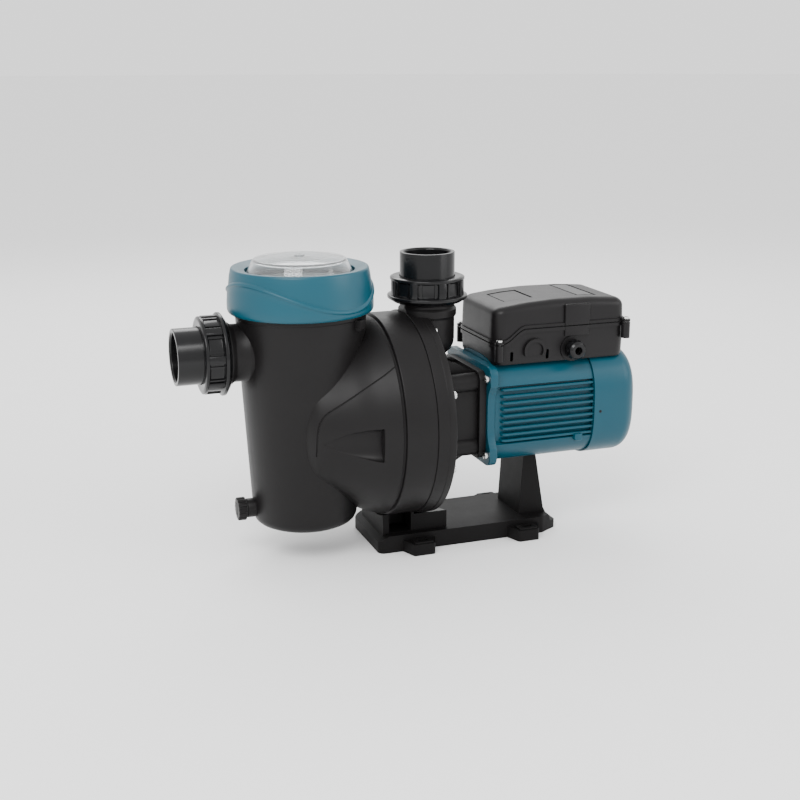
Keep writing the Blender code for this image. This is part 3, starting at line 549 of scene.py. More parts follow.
def add_camera():
    """The main view: a 57.7 mm lens, turned 19.6 degrees and tilted 15.2 degrees down."""
    azimuth, pitch, roll = (math.radians(angle) for angle in (19.637, 15.183, -0.161))
    right = Vector((math.cos(azimuth), -math.sin(azimuth), 0))
    ahead = Vector((math.sin(azimuth) * math.cos(pitch), math.cos(azimuth) * math.cos(pitch),
                    -math.sin(pitch)))
    up = right.cross(ahead)
    turned_right = right * math.cos(roll) + up * math.sin(roll)
    turned_up = up * math.cos(roll) - right * math.sin(roll)
    data = bpy.data.cameras.new("camera")
    data.lens = 57.66
    data.sensor_width = 36.0
    camera = bpy.data.objects.new("camera", data)
    pose = Matrix((turned_right, turned_up, -ahead)).transposed().to_4x4()
    pose.translation = Vector((POT_X - 437.0, -1615.0, 665.3)) * MM
    camera.matrix_world = pose
    bpy.context.scene.collection.objects.link(camera)
    bpy.context.scene.camera = camera


def add_light(name, place, target, size, power):
    data = bpy.data.lights.new(name, "AREA")
    data.shape = "RECTANGLE"
    data.size, data.size_y = size
    data.energy = power
    light = bpy.data.objects.new(name, data)
    light.location = place
    light.rotation_euler = (Vector(target) - Vector(place)).to_track_quat("-Z", "Y").to_euler()
    bpy.context.scene.collection.objects.link(light)


def add_stage():
    floor_material = shader_material("floor_paper", (0.93, 0.93, 0.93), 0.9, mottle=0.01, grain_height=0.0)
    floor = rod("floor", 40000, -20, -0.5, segments=ROUND_SMALL, material=floor_material)
    world = bpy.data.worlds.new("studio")
    world.use_nodes = True
    world.node_tree.nodes["Background"].inputs["Color"].default_value = (1, 1, 1, 1)
    world.node_tree.nodes["Background"].inputs["Strength"].default_value = 1.5
    bpy.context.scene.world = world
    add_light("key", (-1.2, -1.6, 2.2), (0, 0, 0.2), (1.6, 1.2), 60)
    add_light("fill", (1.9, -1.4, 1.2), (0.05, 0, 0.2), (1.4, 1.4), 22)
    add_light("rim", (0.3, 1.9, 1.8), (0, 0, 0.25), (2.0, 1.0), 30)


# Pump body

def cone_profile():
    """The swelling from the pot to the groove in front of the barrel, as (radius, height)."""
    return flowing([(138, 95.2), (127.5, 69), (113.5, 45), (103, 21), (94.1, -1), (84.5, -12),
                    (72, -20)], 6)


def cone_radius(along):
    """The cone's radius at a height along the shaft."""
    profile = cone_profile()
    for (high_r, high), (low_r, low) in zip(profile, profile[1:]):
        if low <= along <= high:
            return low_r + (high_r - low_r) * (along - low) / (high - low)
    return profile[0][0]


def panel_groove(side):
    """The line that runs from the barrel's groove down to the pot, pressed into the cone."""
    line = flowing([(97, 41.5), (80, 37.4), (52, 31.6), (23.5, 24.4), (8, 20), (0.3, 15.7), (-4.2, 9.5),
                    (-6, 2), (-6.5, -6), (-6.8, -16)], 6)
    points = []
    for along, degrees in line:
        angle = math.radians(degrees)
        radius = cone_radius(along)
        points.append((POT_X + along, side * radius * math.cos(angle), SHAFT_Z + radius * math.sin(angle)))
    return tube_along(f"panel_groove_{side}", points, 1.15, sides=8)


def scoop(side):
    """A trough that starts as a point on the cone, deepens and ends in a flat wall."""
    stations = flowing([(1, 0.6), (8, 4.2), (20, 10), (34, 15), (50, 19.2), (64, 22), (73, 23.2)], 3)
    rings = []
    for along, half in stations:
        surface = cone_radius(along) - 0.6
        depth = 0.4 + 14.5 * (along / 73) ** 1.7
        ring = []
        for step in range(17):
            angle = math.pi * step / 16
            across = surface - depth * math.sin(angle) ** 0.8
            ring.append((POT_X + along, side * across, SHAFT_Z - 7 + half * math.cos(angle)))
        ring.append((POT_X + along, side * (surface + 20), SHAFT_Z - 7 - half - 2))
        ring.append((POT_X + along, side * (surface + 20), SHAFT_Z - 7 + half + 2))
        rings.append(ring)
    return loft(f"scoop_{side}", rings, BLACK)


def pump_body():
    pot = turned("pump_body", rounded([
        (0, POT_RIM_Z, 0), (POT_NECK_R, POT_RIM_Z, 1), (POT_NECK_R, 345, 0), (POT_NECK_R - 1.6, 344, 0.6),
        (POT_NECK_R - 1.6, 338, 0.6), (POT_TOP_R + 1.0, 336, 0.8), (POT_TOP_R + 1.0, 331.5, 0.8),
        (POT_TOP_R - 0.2, 330.5, 0.6), (POT_FOOT_R, POT_FOOT_Z, 14), (0, POT_FOOT_Z, 0)], 5, closed=False),
        BLACK, (POT_X, 0, 0))
    barrel = along_shaft("barrel", [(0, 142)] + rounded([
        (BARREL_R, 142, 0.7), (BARREL_R, 100.2, 1.6), (135.2, 99.6, 0.5), (135.2, 96.2, 0.5), (138, 95.2, 0)],
        3, closed=False)[0:-1] + cone_profile() + [(0, -24)], BLACK, 192)
    neck_end = 117.4
    neck = turned("neck", rounded([(0, neck_end, 0), (42.3, neck_end, 0.6), (42.3, 101, 1), (38.2, 95, 3),
                                   (38.2, 84, 0), (41, 78, 4), (41, 60, 0), (0, 60, 0)], 4, closed=False),
                  BLACK, (POT_X, 0, SUCTION_Z), "-x", ROUND_SMALL)
    boss = rod("boss", 13, 55, 82.4, (POT_X, 0, DRAIN_Z), "-x", ROUND_TINY, edge=0.8)
    tab = prism("lid_stop", rectangle(-8, 8, 318, 332, 2), -6, 6, "y", BLACK)
    tab.data.transform(Matrix.Translation(Vector((POT_X, 0, 0)) * MM)
                       @ Matrix.Rotation(math.radians(-48), 4, "Z")
                       @ Matrix.Translation((POT_TOP_R * MM, 0, 0)))
    join(pot, barrel, neck, boss, tab)
    floor = POT_FOOT_Z + POT_WALL
    cavity = turned("cavity", rounded([
        (0, POT_RIM_Z + 5, 0), (83.4, POT_RIM_Z + 5, 0), (83.4, 368, 0), (81.2, 368, 0), (81.2, 350, 0),
        (POT_TOP_R - POT_WALL, 331, 0), (POT_FOOT_R - POT_WALL, floor, 10), (0, floor, 0)], 5, closed=False),
        BLACK, (POT_X, 0, 0), segments=ROUND - 6)
    chamber = along_shaft("chamber", [(0, 144), (119, 144), (119, 122), (131, 116), (131, 98), (111, 80),
                                      (107, 69), (97, 38), (0, 38)], BLACK, ROUND_SMALL)
    cut(chamber, turned("pot_keep", [(0, 362), (POT_TOP_R + 3, 362), (POT_FOOT_R + 1, 40), (0, 40)], BLACK,
                        (POT_X, 0, 0), segments=ROUND_SMALL))
    join(cavity, rod("bore", 29, 60, 125, (POT_X, 0, SUCTION_Z), "-x"),
         rod("drain_bore", 7.4, 50, 90, (POT_X, 0, DRAIN_Z), "-x", ROUND_TINY),
         rod("port", 30, 55, 90, (POT_X, 0, SHAFT_Z), "+x"), chamber)
    cut(pot, gather("body_cuts", [cavity, scoop(-1), scoop(1), panel_groove(-1), panel_groove(1),
                                  screw_holes("body_holes", 126, 141.9)]))
    fit(pot, "pump", "black_plastic", "pump_body")


def screw_holes(name, low, high):
    outline = circle(3.4, 20, (SCREW_CIRCLE_R, 0))
    return copies_round(name, outline, low, high, 8, 22.5, BLACK, (POT_X, 0, SHAFT_Z), "+x")


# Rear cover

def rear_cover():
    cover = along_shaft("rear_cover", rounded([
        (10.8, 158, 0), (24, 158, 1), (26, 166, 1), (40, 166, 1), (42, 158, 1), (112, 158, 2), (118, 168, 2),
        (FLANGE_R, 168, 1.8), (FLANGE_R, 159, 0.6), (141.4, 158, 0.4), (141.4, 142.6, 0.8), (127.6, 142.6, 0),
        (127.6, 146.2, 0), (117, 146.2, 0), (115, 150, 0), (22, 150, 0), (22, 145.4, 0), (17.4, 145.4, 0),
        (17.4, 151, 0), (10.8, 151, 0)], 3), BLACK, 192)
    top = DISCHARGE_SEAT_Z - 3.6
    tube = turned("discharge_tube", rounded([
        (0, top, 0), (42.3, top, 0.6), (42.3, 338.5, 1), (37.4, 334.5, 1.5), (37.4, 331.5, 1), (40, 328, 1.2),
        (40, 319.5, 1.2), (37.4, 316, 1), (37.2, 262, 24), (0, 262, 0)], 5, closed=False),
        BLACK, (DISCHARGE_X, 0, 0), segments=ROUND_SMALL)
    front_space = [(0, 149), (115, 149), (115, 146.1), (127.4, 146.1), (127.4, 142.6), (165, 142.6),
                   (165, 110), (0, 110)]
    cut(tube, along_shaft("front_space", front_space, BLACK, ROUND_SMALL))
    ribs = copies_round("cover_ribs", rectangle(58, 117, -1.4, 1.4), 155, 165.5, 24, 7.5, BLACK,
                        (POT_X, 0, SHAFT_Z), "+x")
    join(cover, ribs, tube)
    riser = join(rod("riser", 29, 270, 360, (DISCHARGE_X, 0, 0)),
                 rod("inlet", 15, 139, 179, (POT_X, 0, 287), "+x", ROUND_TINY))
    seats = copies_round("nut_seats", circle(7, 24, (SCREW_CIRCLE_R, 0)), 167.2, 175, 8, 22.5, BLACK,
                         (POT_X, 0, SHAFT_Z), "+x")
    cut(cover, gather("cover_cuts", [riser, join(seats, screw_holes("cover_holes", 140, 170))]))
    fit(cover, "pump", "black_plastic", "rear_cover")


def cap_screw(name, head_r, head, seat, shank_r, tip, socket_r, place, way):
    """A cap screw with a hexagon socket. Heights run along its axis, head first."""
    outline = rounded([(0, head, 0), (head_r, head, 0.7), (head_r, seat, 0.2), (shank_r, seat, 0),
                       (shank_r, tip, 0), (0, tip, 0)], 3, closed=False)
    screw = turned(name, outline, STEEL, place, way, ROUND_TINY)
    depth = (head - seat) * 0.65
    low, high = sorted((head - depth, head + (head - seat)))
    return cut(screw, prisms(f"{name}_socket", [(circle(socket_r, 6), low, high, "z")], STEEL, place, way))


def screws():
    for index in range(8):
        angle = math.radians(22.5 + 45 * index)
        place = (POT_X, SCREW_CIRCLE_R * math.cos(angle), SHAFT_Z + SCREW_CIRCLE_R * math.sin(angle))
        name = f"casing_screw_{index + 1}"
        fit(cap_screw(name, 5.2, 173.3, 168.1, 2.9, 130, 2.9, place, "+x"), "pump", "stainless_steel", name)
    for index in range(4):
        name = f"flange_screw_{index + 1}"
        centre = middle(name)
        low, high = box_mm(name)
        place = (0, centre.y, centre.z)
        fit(cap_screw(name, 4.9, low.x, low.x + 4.9, 2.9, high.x, 2.7, place, "+x"),
            "pump", "stainless_steel", name)
    for index in range(4):
        name = f"box_screw_{index + 1}"
        centre = middle(name)
        low, high = box_mm(name)
        place = (centre.x, centre.y, 0)
        fit(cap_screw(name, 4.1, high.z, high.z - 3, 1.5, low.z, 2.2, place, "+z"),
            "box_cover", "stainless_steel", name)


# Lid, ring, basket and handle

def lid_ring():
    """The screwed ring: a turned body whose skirt is thicker below the wave-shaped bead."""
    segments = 240
    low_z, high_z = 336.8, 395.6
    bm = bmesh.new()
    columns = []
    inside = [(84, high_z - 0.2), (72.6, 391.5), (72.6, 385.6), (89.1, 385.6), (89.1, low_z)]
    for index in range(segments):
        angle = 2 * math.pi * index / segments
        wave = wave_z(angle)
        column = [(88.6, high_z), (90.0, high_z - 0.6), (90.9, high_z - 2)]
        for step in range(5):
            height = high_z - 4 + (wave + 3.8 - high_z + 4) * step / 4
            column.append((ring_radius(height), height))
        for above, proud in ((3.0, 0.1), (2.4, 0.9), (1.4, 2.1), (0.3, 2.9), (-0.8, 3.0), (-2.0, 2.4),
                             (-3.0, 1.4), (-3.6, 1.2)):
            column.append((ring_radius(wave + above) + proud, wave + above))
        start = wave - 4.2
        for step in range(1, 5):
            height = start + (low_z + 5.0 - start) * step / 4
            column.append((ring_radius(height) + 1.2, height))
        column += [(96.4, low_z + 3.2), (95.6, low_z + 1.4), (94.4, low_z + 0.4), (93.0, low_z)]
        column += list(reversed(inside))
        columns.append([bm.verts.new((r * math.cos(angle) * MM, r * math.sin(angle) * MM, z * MM))
                        for r, z in column])
    for index in range(segments):
        here, after = columns[index], columns[(index + 1) % segments]
        for row in range(len(here)):
            below = (row + 1) % len(here)
            bm.faces.new((here[row], here[below], after[below], after[row]))
    ring = new_piece("lid_ring", bm, TEAL_PLASTIC, (POT_X, 0, 0), sharp=38)
    fit(ring, "ring", "teal_plastic", "lid_ring")


def wave_z(angle):
    """The bead is lowest 27 degrees right of the front and highest a quarter turn from there."""
    lowest = math.radians(-90 + 27)
    return 364.5 - 17.5 * math.cos(2 * (angle - lowest))


def ring_radius(height):
    """The ring's own radius: nearly straight, drawn in towards the rim."""
    line = [(336.0, 95.6), (350.0, 95.8), (358.0, 95.2), (371.0, 94.4), (385.0, 92.8), (391.0, 91.6),
            (396.0, 89.8)]
    for (low, low_r), (high, high_r) in zip(line, line[1:]):
        if height <= high:
            return low_r + (high_r - low_r) * (height - low) / (high - low)
    return line[-1][1]


def clear_lid():
    outline = rounded([
        (0, 409.2, 0), (2.8, 409.2, 0), (3.2, 410.5, 0.3), (6.6, 410.5, 0.5), (7.2, 409.1, 0), (38, 408.2, 40),
        (60.6, 405.8, 2.6), (63, 402.5, 2), (70, 388.4, 2.5), (72, 385.2, 0), (88, 385, 0.4), (88, 381.4, 0.4),
        (68, 381.4, 1), (66.2, 388.2, 2), (59.6, 402.0, 2.4), (38, 404.4, 30), (0, 405.4, 0)], 4, closed=False)
    lid = turned("clear_lid", outline, CLEAR, (POT_X, 0, 0), segments=ROUND)
    fit(lid, "lid", "clear_polycarbonate", "clear_lid")


def strainer_basket():
    top_r, foot_r, foot, wall, rim = 77.0, 61.0, 110.0, 2.0, 373.0
    basket = turned("strainer_basket", [(0, foot + wall), (foot_r - wall - 2, foot + wall),
                                        (foot_r - wall, foot + wall + 2), (top_r - wall, rim - 0.5),
                                        (top_r - wall + 0.5, rim), (82, rim), (82.4, rim - 0.5),
                                        (82.4, 368.5),
                                        (top_r + 0.6, 368.5), (top_r, 366), (foot_r + 0.4, foot + 4),
                                        (foot_r - 3, foot), (0, foot)], BASKET_PLASTIC, (POT_X, 0, 0),
                    segments=ROUND_SMALL)
    slots = []
    for low, high in ((124, 160), (166, 202), (208, 244), (250, 286), (292, 328)):
        slots.append(copies_round("slots", rectangle(50, 90, -2.6, 2.6), low, high, 36, 5, BASKET_PLASTIC,
                                  (POT_X, 0, 0)))
    cut(basket, gather("wall_slots", slots))
    cut(basket, copies_round("floor_slots", rectangle(14, 52, -2.2, 2.2), foot - 5, foot + 10, 18, 4,
                             BASKET_PLASTIC, (POT_X, 0, 0)),
        rod("window", 31, 40, 100, (POT_X, 0, SUCTION_Z), "-x"),
        prisms("pin_holes", [(circle(3.2, 20), -90, 90, "y")], BASKET_PLASTIC, (POT_X, 0, HANDLE_Z)))
    fit(basket, "basket", "basket_plastic", "strainer_basket")


def basket_handle():
    pin_end, reach = 79.0, 69.0
    path = [(POT_X, -pin_end, HANDLE_Z), (POT_X, -reach - 5, HANDLE_Z)]
    for step in range(33):
        angle = math.pi * (step / 32 - 0.5)
        path.append((POT_X + 5 + (reach - 5) * math.cos(angle), reach * math.sin(angle), HANDLE_Z))
    path += [(POT_X, reach + 5, HANDLE_Z), (POT_X, pin_end, HANDLE_Z)]
    handle = tube_along("basket_handle", path, 2.5, BASKET_PLASTIC, 16)
    fit(handle, "handle", "basket_plastic", "basket_handle")


# Unions

def union_set(prefix, place, way, pipe_body, nut_body):
    tailpiece = turned(f"{prefix}_tailpiece", rounded([
        (37.5, 50, 0.8), (37.5, 6, 0.5), (42.4, 6, 0.6), (42.4, 0, 0.4), (28, 0, 0.4), (28, 14, 0.5),
        (31.4, 14, 0.5), (31.6, 47.5, 1), (33.2, 50, 0.6)], 3), UNION_BLACK, place, way, ROUND)
    fit(tailpiece, pipe_body, "union_plastic", f"{prefix}_tailpiece")
    nut = turned(f"{prefix}_nut", rounded([
        (38.2, 17.3, 0.6), (47, 17.3, 1), (51, 16, 1.4), (51, 12.6, 1.2), (48.4, 11, 1), (48.4, -6, 1),
        (51.5, -7.6, 1), (54.8, -8.4, 1.2), (54.8, -12.4, 1.4), (47, -17.6, 1.5), (43.1, -17.6, 0.5),
        (43.1, 6.3, 0), (38.2, 6.3, 0.4)], 3), UNION_BLACK, place, way, ROUND)
    lugs = copies_round(f"{prefix}_lugs", rectangle(46, 51.6, -5.5, 5.5, 1.6, 3), -9, 13, 8, 3.5,
                        UNION_BLACK, place, way, round_rims=0.8)
    ribs = copies_round(f"{prefix}_ribs", rectangle(46, 50.0, -1.2, 1.2), -9, 13, 16, 15, UNION_BLACK,
                        place, way)
    join(nut, lugs, ribs)
    fit(nut, nut_body, "union_plastic", f"{prefix}_nut")


# Drain plug

def drain_plug():
    place = (POT_X, 0, DRAIN_Z)
    plug = rod("drain_plug", 7, 66, 86, place, "-x", ROUND_TINY)
    lobes = 16
    cap = []
    for index in range(lobes * 8):
        angle = 2 * math.pi * index / (lobes * 8)
        radius = 15.0 + 0.75 * math.tanh(2.4 * math.cos(lobes * angle))
        cap.append((radius * math.cos(angle), radius * math.sin(angle)))
    knob = prism("drain_knob", cap, 84.4, 95.4, "z", BLACK, place, "-x", round_low=0.6, round_high=1.4)
    join(plug, knob)
    cut(plug, prisms("drain_slot", [(rectangle(-9, 9, -1.6, 1.6), 92.5, 99, "z")], BLACK, place, "-x"))
    fit(plug, "drain", "black_plastic", "drain_plug")


# Lantern bracket

def lantern_bracket():
    place = (POT_X, 0, SHAFT_Z)
    core = prism("lantern_bracket", squircle(57, 96, 4.0), 170.2, 236, "x", BLACK, place)
    columns = [rod("column", 13.5, 169.6, 238, (POT_X, side * 47.5, SHAFT_Z + up * 45), "+x", 48, edge=1)
               for side in (-1, 1) for up in (-1, 1)]
    foot = along_shaft("foot", rounded([(0, 174.5, 0), (97, 174.5, 2), (98, 168.6, 0), (0, 168.6, 0)], 3,
                                       closed=False), BLACK, 120)
    plate = rounded([(-66, -62, 14), (66, -62, 14), (66, 62, 14), (-66, 62, 14)], 6)
    flange = prism("lantern_flange", plate, 231, 240.6, "x", BLACK, place, round_low=1.5)
    gussets = []
    for side in (-1, 1):
        for foot_z, tip_z, across in ((-92, -57, 30), (88, 57, 34)):
            outline = [(POT_X + 171.7, SHAFT_Z + foot_z), (POT_X + 233, SHAFT_Z + tip_z),
                       (POT_X + 233, SHAFT_Z + math.copysign(47.3, tip_z)),
                       (POT_X + 171.7, SHAFT_Z + math.copysign(47.3, tip_z))]
            gussets.append(prism("gusset", outline, side * across - 3, side * across + 3, "y", BLACK,
                                 round_low=0.8, round_high=0.8, steps=2))
    join(core, *columns, foot, flange, *gussets)
    hollow = join(rod("tunnel", 50, 150, 245, place, "+x"),
                  prism("drip_slot", rectangle(POT_X + 186, POT_X + 226, -20, 20, 6), SHAFT_Z - 100,
                        SHAFT_Z - 10, "z", BLACK))
    cut(core, hollow, rod("elbow_space", 38.5, 255, 305, (DISCHARGE_X, 0, 0), segments=90))
    fit(core, "pump", "black_plastic", "lantern_bracket")


# Motor

def motor_housing():
    place = (POT_X, 0, SHAFT_Z)
    fin_zone, depth = 41.0, 7.0
    outline = []
    for across, up in squircle(MOTOR_HALF, 160):
        if abs(up) < fin_zone and abs(across) > MOTOR_HALF / 2:
            across = math.copysign(squircle_side(MOTOR_HALF, up) - depth, across)
        outline.append((across, up))
    housing = prism("motor_housing", outline, 252.8, 400, "x", TEAL, place)
    fins = []
    pitch, thickness = 9.0, 3.4
    for side in (-1, 1):
        for row in range(9):
            up = -36 + pitch * row
            tip = squircle_side(MOTOR_HALF, up)
            fins.append((rounded([(261, tip - depth - 3, 0), (399.9, tip - depth - 3, 0), (399.9, tip, 0),
                                  (261, tip, 5)], 5), side, up))
    blades = []
    for fin_outline, side, up in fins:
        outline = [(along, side * across) for along, across in fin_outline]
        blade = prism("fin", outline, up - thickness / 2, up + thickness / 2, "z", TEAL, place,
                      round_low=1.0, round_high=1.0, steps=2)
        blades.append(blade)
    body = gather("motor_housing", [
        cut(housing, rod("housing_bore", 58, 250, 402, place, "+x")), *blades,
        prism("earth_boss", rectangle(372, 384, -46, -36, 2), -77.5, -66, "y", TEAL, place, round_low=1.5),
        prism("foot_boss", rectangle(357, 369, -9, 9, 2), -76.5 - 2.4, -70, "z", TEAL, place, round_low=1)])
    fit(body, "pump", "teal_paint", "motor_housing")


def front_shield():
    side, waist, top = 80.0, 70.5, 70.0
    half = [(side, -top, 13), (side, -44, 8), (waist, -30, 40), (waist, 30, 40), (side, 44, 8),
            (side, top, 13)]
    outline = rounded(half + [(-across, up, radius) for across, up, radius in reversed(half)], 6)
    place = (POT_X, 0, SHAFT_Z)
    shield = prism("front_shield", outline, 241, 252.3, "x", TEAL, place, round_low=1.2, round_high=1.2)
    spigot = [(0, 262), (28, 262), (28, 258), (57.6, 258), (57.6, 250), (0, 250)]
    seat = [(0, 263), (23.8, 263), (23.8, 246), (12, 246), (12, 240), (0, 240)]
    join(shield, along_shaft("front_spigot", spigot, TEAL, ROUND_SMALL))
    cut(shield, along_shaft("front_seat", seat, TEAL, ROUND_SMALL))
    fit(shield, "pump", "teal_paint", "front_shield")


def rear_shield():
    shield = prism("rear_shield", squircle(74.5), 400.6, 405, "x", TEAL, (POT_X, 0, SHAFT_Z))
    spigot = [(0, 403), (57.6, 403), (57.6, 392), (0, 392)]
    seat = [(0, 409), (11, 409), (11, 402), (23.8, 402), (23.8, 386), (0, 386)]
    join(shield, along_shaft("rear_spigot", spigot, TEAL, ROUND_SMALL))
    cut(shield, along_shaft("rear_seat", seat, TEAL, ROUND_SMALL))
    fit(shield, "pump", "teal_paint", "rear_shield")


def fan_cover_solid(name, inset, start):
    """The fan cover's square shell with its far edge rolled over, drawn in by an inset."""
    end = 471.0 - inset
    roll = 24.0 - inset * 0.7
    rows = [(start, 0.0), (end - roll - 20, 0.0)]
    for step in range(13):
        angle = math.pi / 2 * step / 12
        rows.append((end - roll + roll * math.sin(angle), roll * (1 - math.cos(angle))))
    rings = []
    for along, drawn in rows:
        outline = squircle(FAN_COVER_HALF - inset - drawn, 144)
        rings.append([(POT_X + along, across, SHAFT_Z + up) for across, up in outline])
    return loft(name, rings, TEAL)


def fan_cover():
    place = (POT_X, 0, SHAFT_Z)
    cover = fan_cover_solid("fan_cover", 0, 400.6)
    cut(cover, fan_cover_solid("cover_inside", 2.4, 398))
    arcs = []
    for radius in (18, 26, 34, 42, 50):
        arcs += arc_slots(radius, 4.0, max(6, round(radius * 2 * math.pi / 22)))
    cut(cover, prisms("grille", [(outline, 455, 480, "z") for outline in arcs], TEAL, place, "+x"))
    screw = rod("cover_screw", 2.0, 78.0, 79.0, (POT_X + 410, 0, SHAFT_Z - 6), "-y", ROUND_TINY, BLACK, 0.4)
    fit(cover, "pump", "teal_paint", "fan_cover")
    fit(screw, "pump", "black_plastic")


def arc_slots(radius, width, count):
    """Curved slots of one grille ring, as outlines."""
    outlines = []
    span = 2 * math.pi / count
    bridge = 4.2 / radius
    steps = 6
    for index in range(count):
        first, last = index * span + bridge / 2, (index + 1) * span - bridge / 2
        angles = [first + (last - first) * step / steps for step in range(steps + 1)]
        outer = [((radius + width / 2) * math.cos(a), (radius + width / 2) * math.sin(a)) for a in angles]
        inner = [((radius - width / 2) * math.cos(a), (radius - width / 2) * math.sin(a))
                 for a in reversed(angles)]
        outlines.append(outer + inner)
    return outlines


# Electronics box

def seam_line(shift):
    """Where the lid meets the base, seen from the side, from left to right."""
    left_z, right_z = SEAM_LEFT_Z, SEAM_RIGHT_Z
    start, rise = POT_X + 263.0, 36.0
    line = [(BOX_LEFT - 20, left_z + shift)]
    steps = 16
    for step in range(steps + 1):
        climb = (1 - math.cos(math.pi * step / steps)) / 2
        line.append((start + rise * step / steps, left_z + (right_z - left_z) * climb + shift))
    line.append((BOX_RIGHT + 20, right_z + shift))
    return line


def top_height(along):
    """The crowned top's height at a distance from the pot's axis."""
    line = [(240, 330.5), (262, 332), (300, 336.6), (345, 339), (400, 338.2), (436, 335.5), (460, 333)]
    for (low, low_z), (high, high_z) in zip(line, line[1:]):
        if along <= high:
            share = (along - low) / (high - low)
            return low_z + (high_z - low_z) * share
    return line[-1][1]


def box_solid(name, inset):
    """The box as one solid, drawn in by an inset: a soft block with rolled edges and a crowned top."""
    left, right, half = BOX_LEFT + inset, BOX_RIGHT - inset, BOX_HALF - inset
    floor, shoulder, crown = 252.0 + inset, 300.0, 339.0 - inset
    roll = 13.0 - inset * 0.6
    rows = [(5.0, floor), (2.2, floor + 0.9), (0.9, floor + 3.4), (0.5, floor + 9), (0.0, 276.0),
            (0.0, shoulder)]
    for step in range(9):
        angle = math.pi / 2 * step / 8
        rows.append((0.8 + roll * (1 - math.cos(angle)), crown - roll + roll * math.sin(angle)))
    rows += [(18, crown), (26, crown), (38, crown), (50, crown), (59, crown)]
    rings = []
    for drawn, level in rows:
        radius = max(16.0 - drawn - inset, 1.5)
        outline = rectangle(left + drawn, right - drawn, -half + drawn, half - drawn, radius, 8)
        outline = spaced(outline)
        lift = max(0.0, (level - shoulder) / (crown - shoulder))
        rings.append([(across, up, level + (top_height(across - POT_X) - 339.0) * lift)
                      for across, up in outline])
    return loft(name, rings, BOX_BLACK, bent_end=True)


def spaced(outline, long_steps=14):
    """An outline whose straight runs are split, so that it can follow a curved top."""
    points = []
    for index, point in enumerate(outline):
        after = outline[(index + 1) % len(outline)]
        steps = long_steps if index % 9 == 8 else 1
        for step in range(steps):
            share = step / steps
            points.append((point[0] + (after[0] - point[0]) * share,
                           point[1] + (after[1] - point[1]) * share))
    return points


def box_ears(name, below, above, radius, segments=32):
    """Upright rods on the box screws' centres, from below the seam to above it."""
    solids = []
    for index in range(4):
        centre = middle(f"box_screw_{index + 1}")
        seam = SEAM_LEFT_Z if centre.x < (BOX_LEFT + BOX_RIGHT) / 2 else SEAM_RIGHT_Z
        solids.append((circle(radius, segments, (centre.x, centre.y)), seam - below, seam + above, "z"))
    return prisms(name, solids, BOX_BLACK)


def motor_space(half, low, high):
    return prism("motor_space", squircle(half, 96), low, high, "x", BOX_BLACK, (POT_X, 0, SHAFT_Z))


def box_base():
    base = join(box_solid("box_base", 0), box_ears("base_ears", 23, 8, 6.2))
    flange = keep(box_solid("box_flange", -2.0),
                  prism("flange_layer", seam_line(-1) + list(reversed(seam_line(-6))), -90, 90, "y",
                        BOX_BLACK))
    block = [(POT_X + 356, -60, 0), (POT_X + 356, -68.4, 3), (POT_X + 394, -68.4, 3), (POT_X + 394, -60, 0)]
    bump = prism("base_bump", rounded(block, 4), 288, 315, "z", BOX_BLACK)
    join(base, flange, bump)
    below = seam_line(-0.7) + [(BOX_RIGHT + 20, 200), (BOX_LEFT - 20, 200)]
    keep(base, prism("below_seam", below, -90, 90, "y", BOX_BLACK))
    centre = (POT_X + 311.5, 271)
    arch = cut(prism("arch", circle(16.4, 48, centre), -69.4, -60, "y", BOX_BLACK, round_low=1.6),
               prism("arch_hollow", circle(12.0, 48, centre), -72, -66.2, "y", BOX_BLACK),
               prism("arch_foot", rectangle(POT_X + 290, POT_X + 333, 250, 264), -73, -50, "y", BOX_BLACK))
    gland_plate = prism("gland_plate", circle(17.8, 44, (GLAND.x, GLAND.z)), -66.8, -60, "y", BOX_BLACK,
                        round_low=0.9)
    join(base, arch, gland_plate)
    slots = [prism("slot", rectangle(POT_X + x - 2.2, POT_X + x + 2.2, 257.5, 271, 1.6), -72, -58, "y",
                   BOX_BLACK) for x in (278, 331.6)]
    cut(base, box_solid("base_inside", 3.0), box_ears("base_ear_holes", 13, 12, 1.9, 16), *slots,
        rod("gland_hole", 8.4, 50, 80, (GLAND.x, 0, GLAND.z), "-y"),
        motor_space(MOTOR_HALF + 0.6, 230, 402), motor_space(FAN_COVER_HALF + 0.6, 398, 490))
    fit(base, "pump", "black_plastic", "box_base")


def box_lid():
    lid = join(box_solid("box_lid", 0), box_ears("lid_ears", 8, 3.5, 6.2))
    flange = keep(box_solid("lid_flange", -2.0),
                  prism("flange_layer", seam_line(4.5) + list(reversed(seam_line(0.2))), -90, 90, "y",
                        BOX_BLACK))
    block = [(POT_X + 356, -55, 0), (POT_X + 356, -68.6, 2), (POT_X + 394, -68.6, 2), (POT_X + 394, -55, 0)]
    bump = prism("lid_bump", rounded(block, 4), 290, 332, "z", BOX_BLACK, round_high=2.5)
    join(lid, flange, bump)
    above = seam_line(0.7) + [(BOX_RIGHT + 20, 400), (BOX_LEFT - 20, 400)]
    keep(lid, prism("above_seam", above, -90, 90, "y", BOX_BLACK))
    cut(lid, gather("lid_cuts", [box_solid("lid_inside", 3.0), box_ears("lid_ear_holes", 20, 12, 2.4, 16)]))
    panel_pockets(lid)
    fit(lid, "box_cover", "black_plastic", "box_lid")


def crown_pocket(name, low_x, high_x, low_y, high_y, depth):
    """A flat-sided pocket whose floor follows the crowned top at one depth."""
    steps = 8
    floor = []
    for step in range(steps + 1):
        along = low_x + (high_x - low_x) * step / steps
        floor.append((POT_X + along, top_height(along) - depth))
    outline = floor + [(POT_X + high_x, 352), (POT_X + low_x, 352)]
    return prism(name, outline, low_y, high_y, "y", BOX_BLACK)


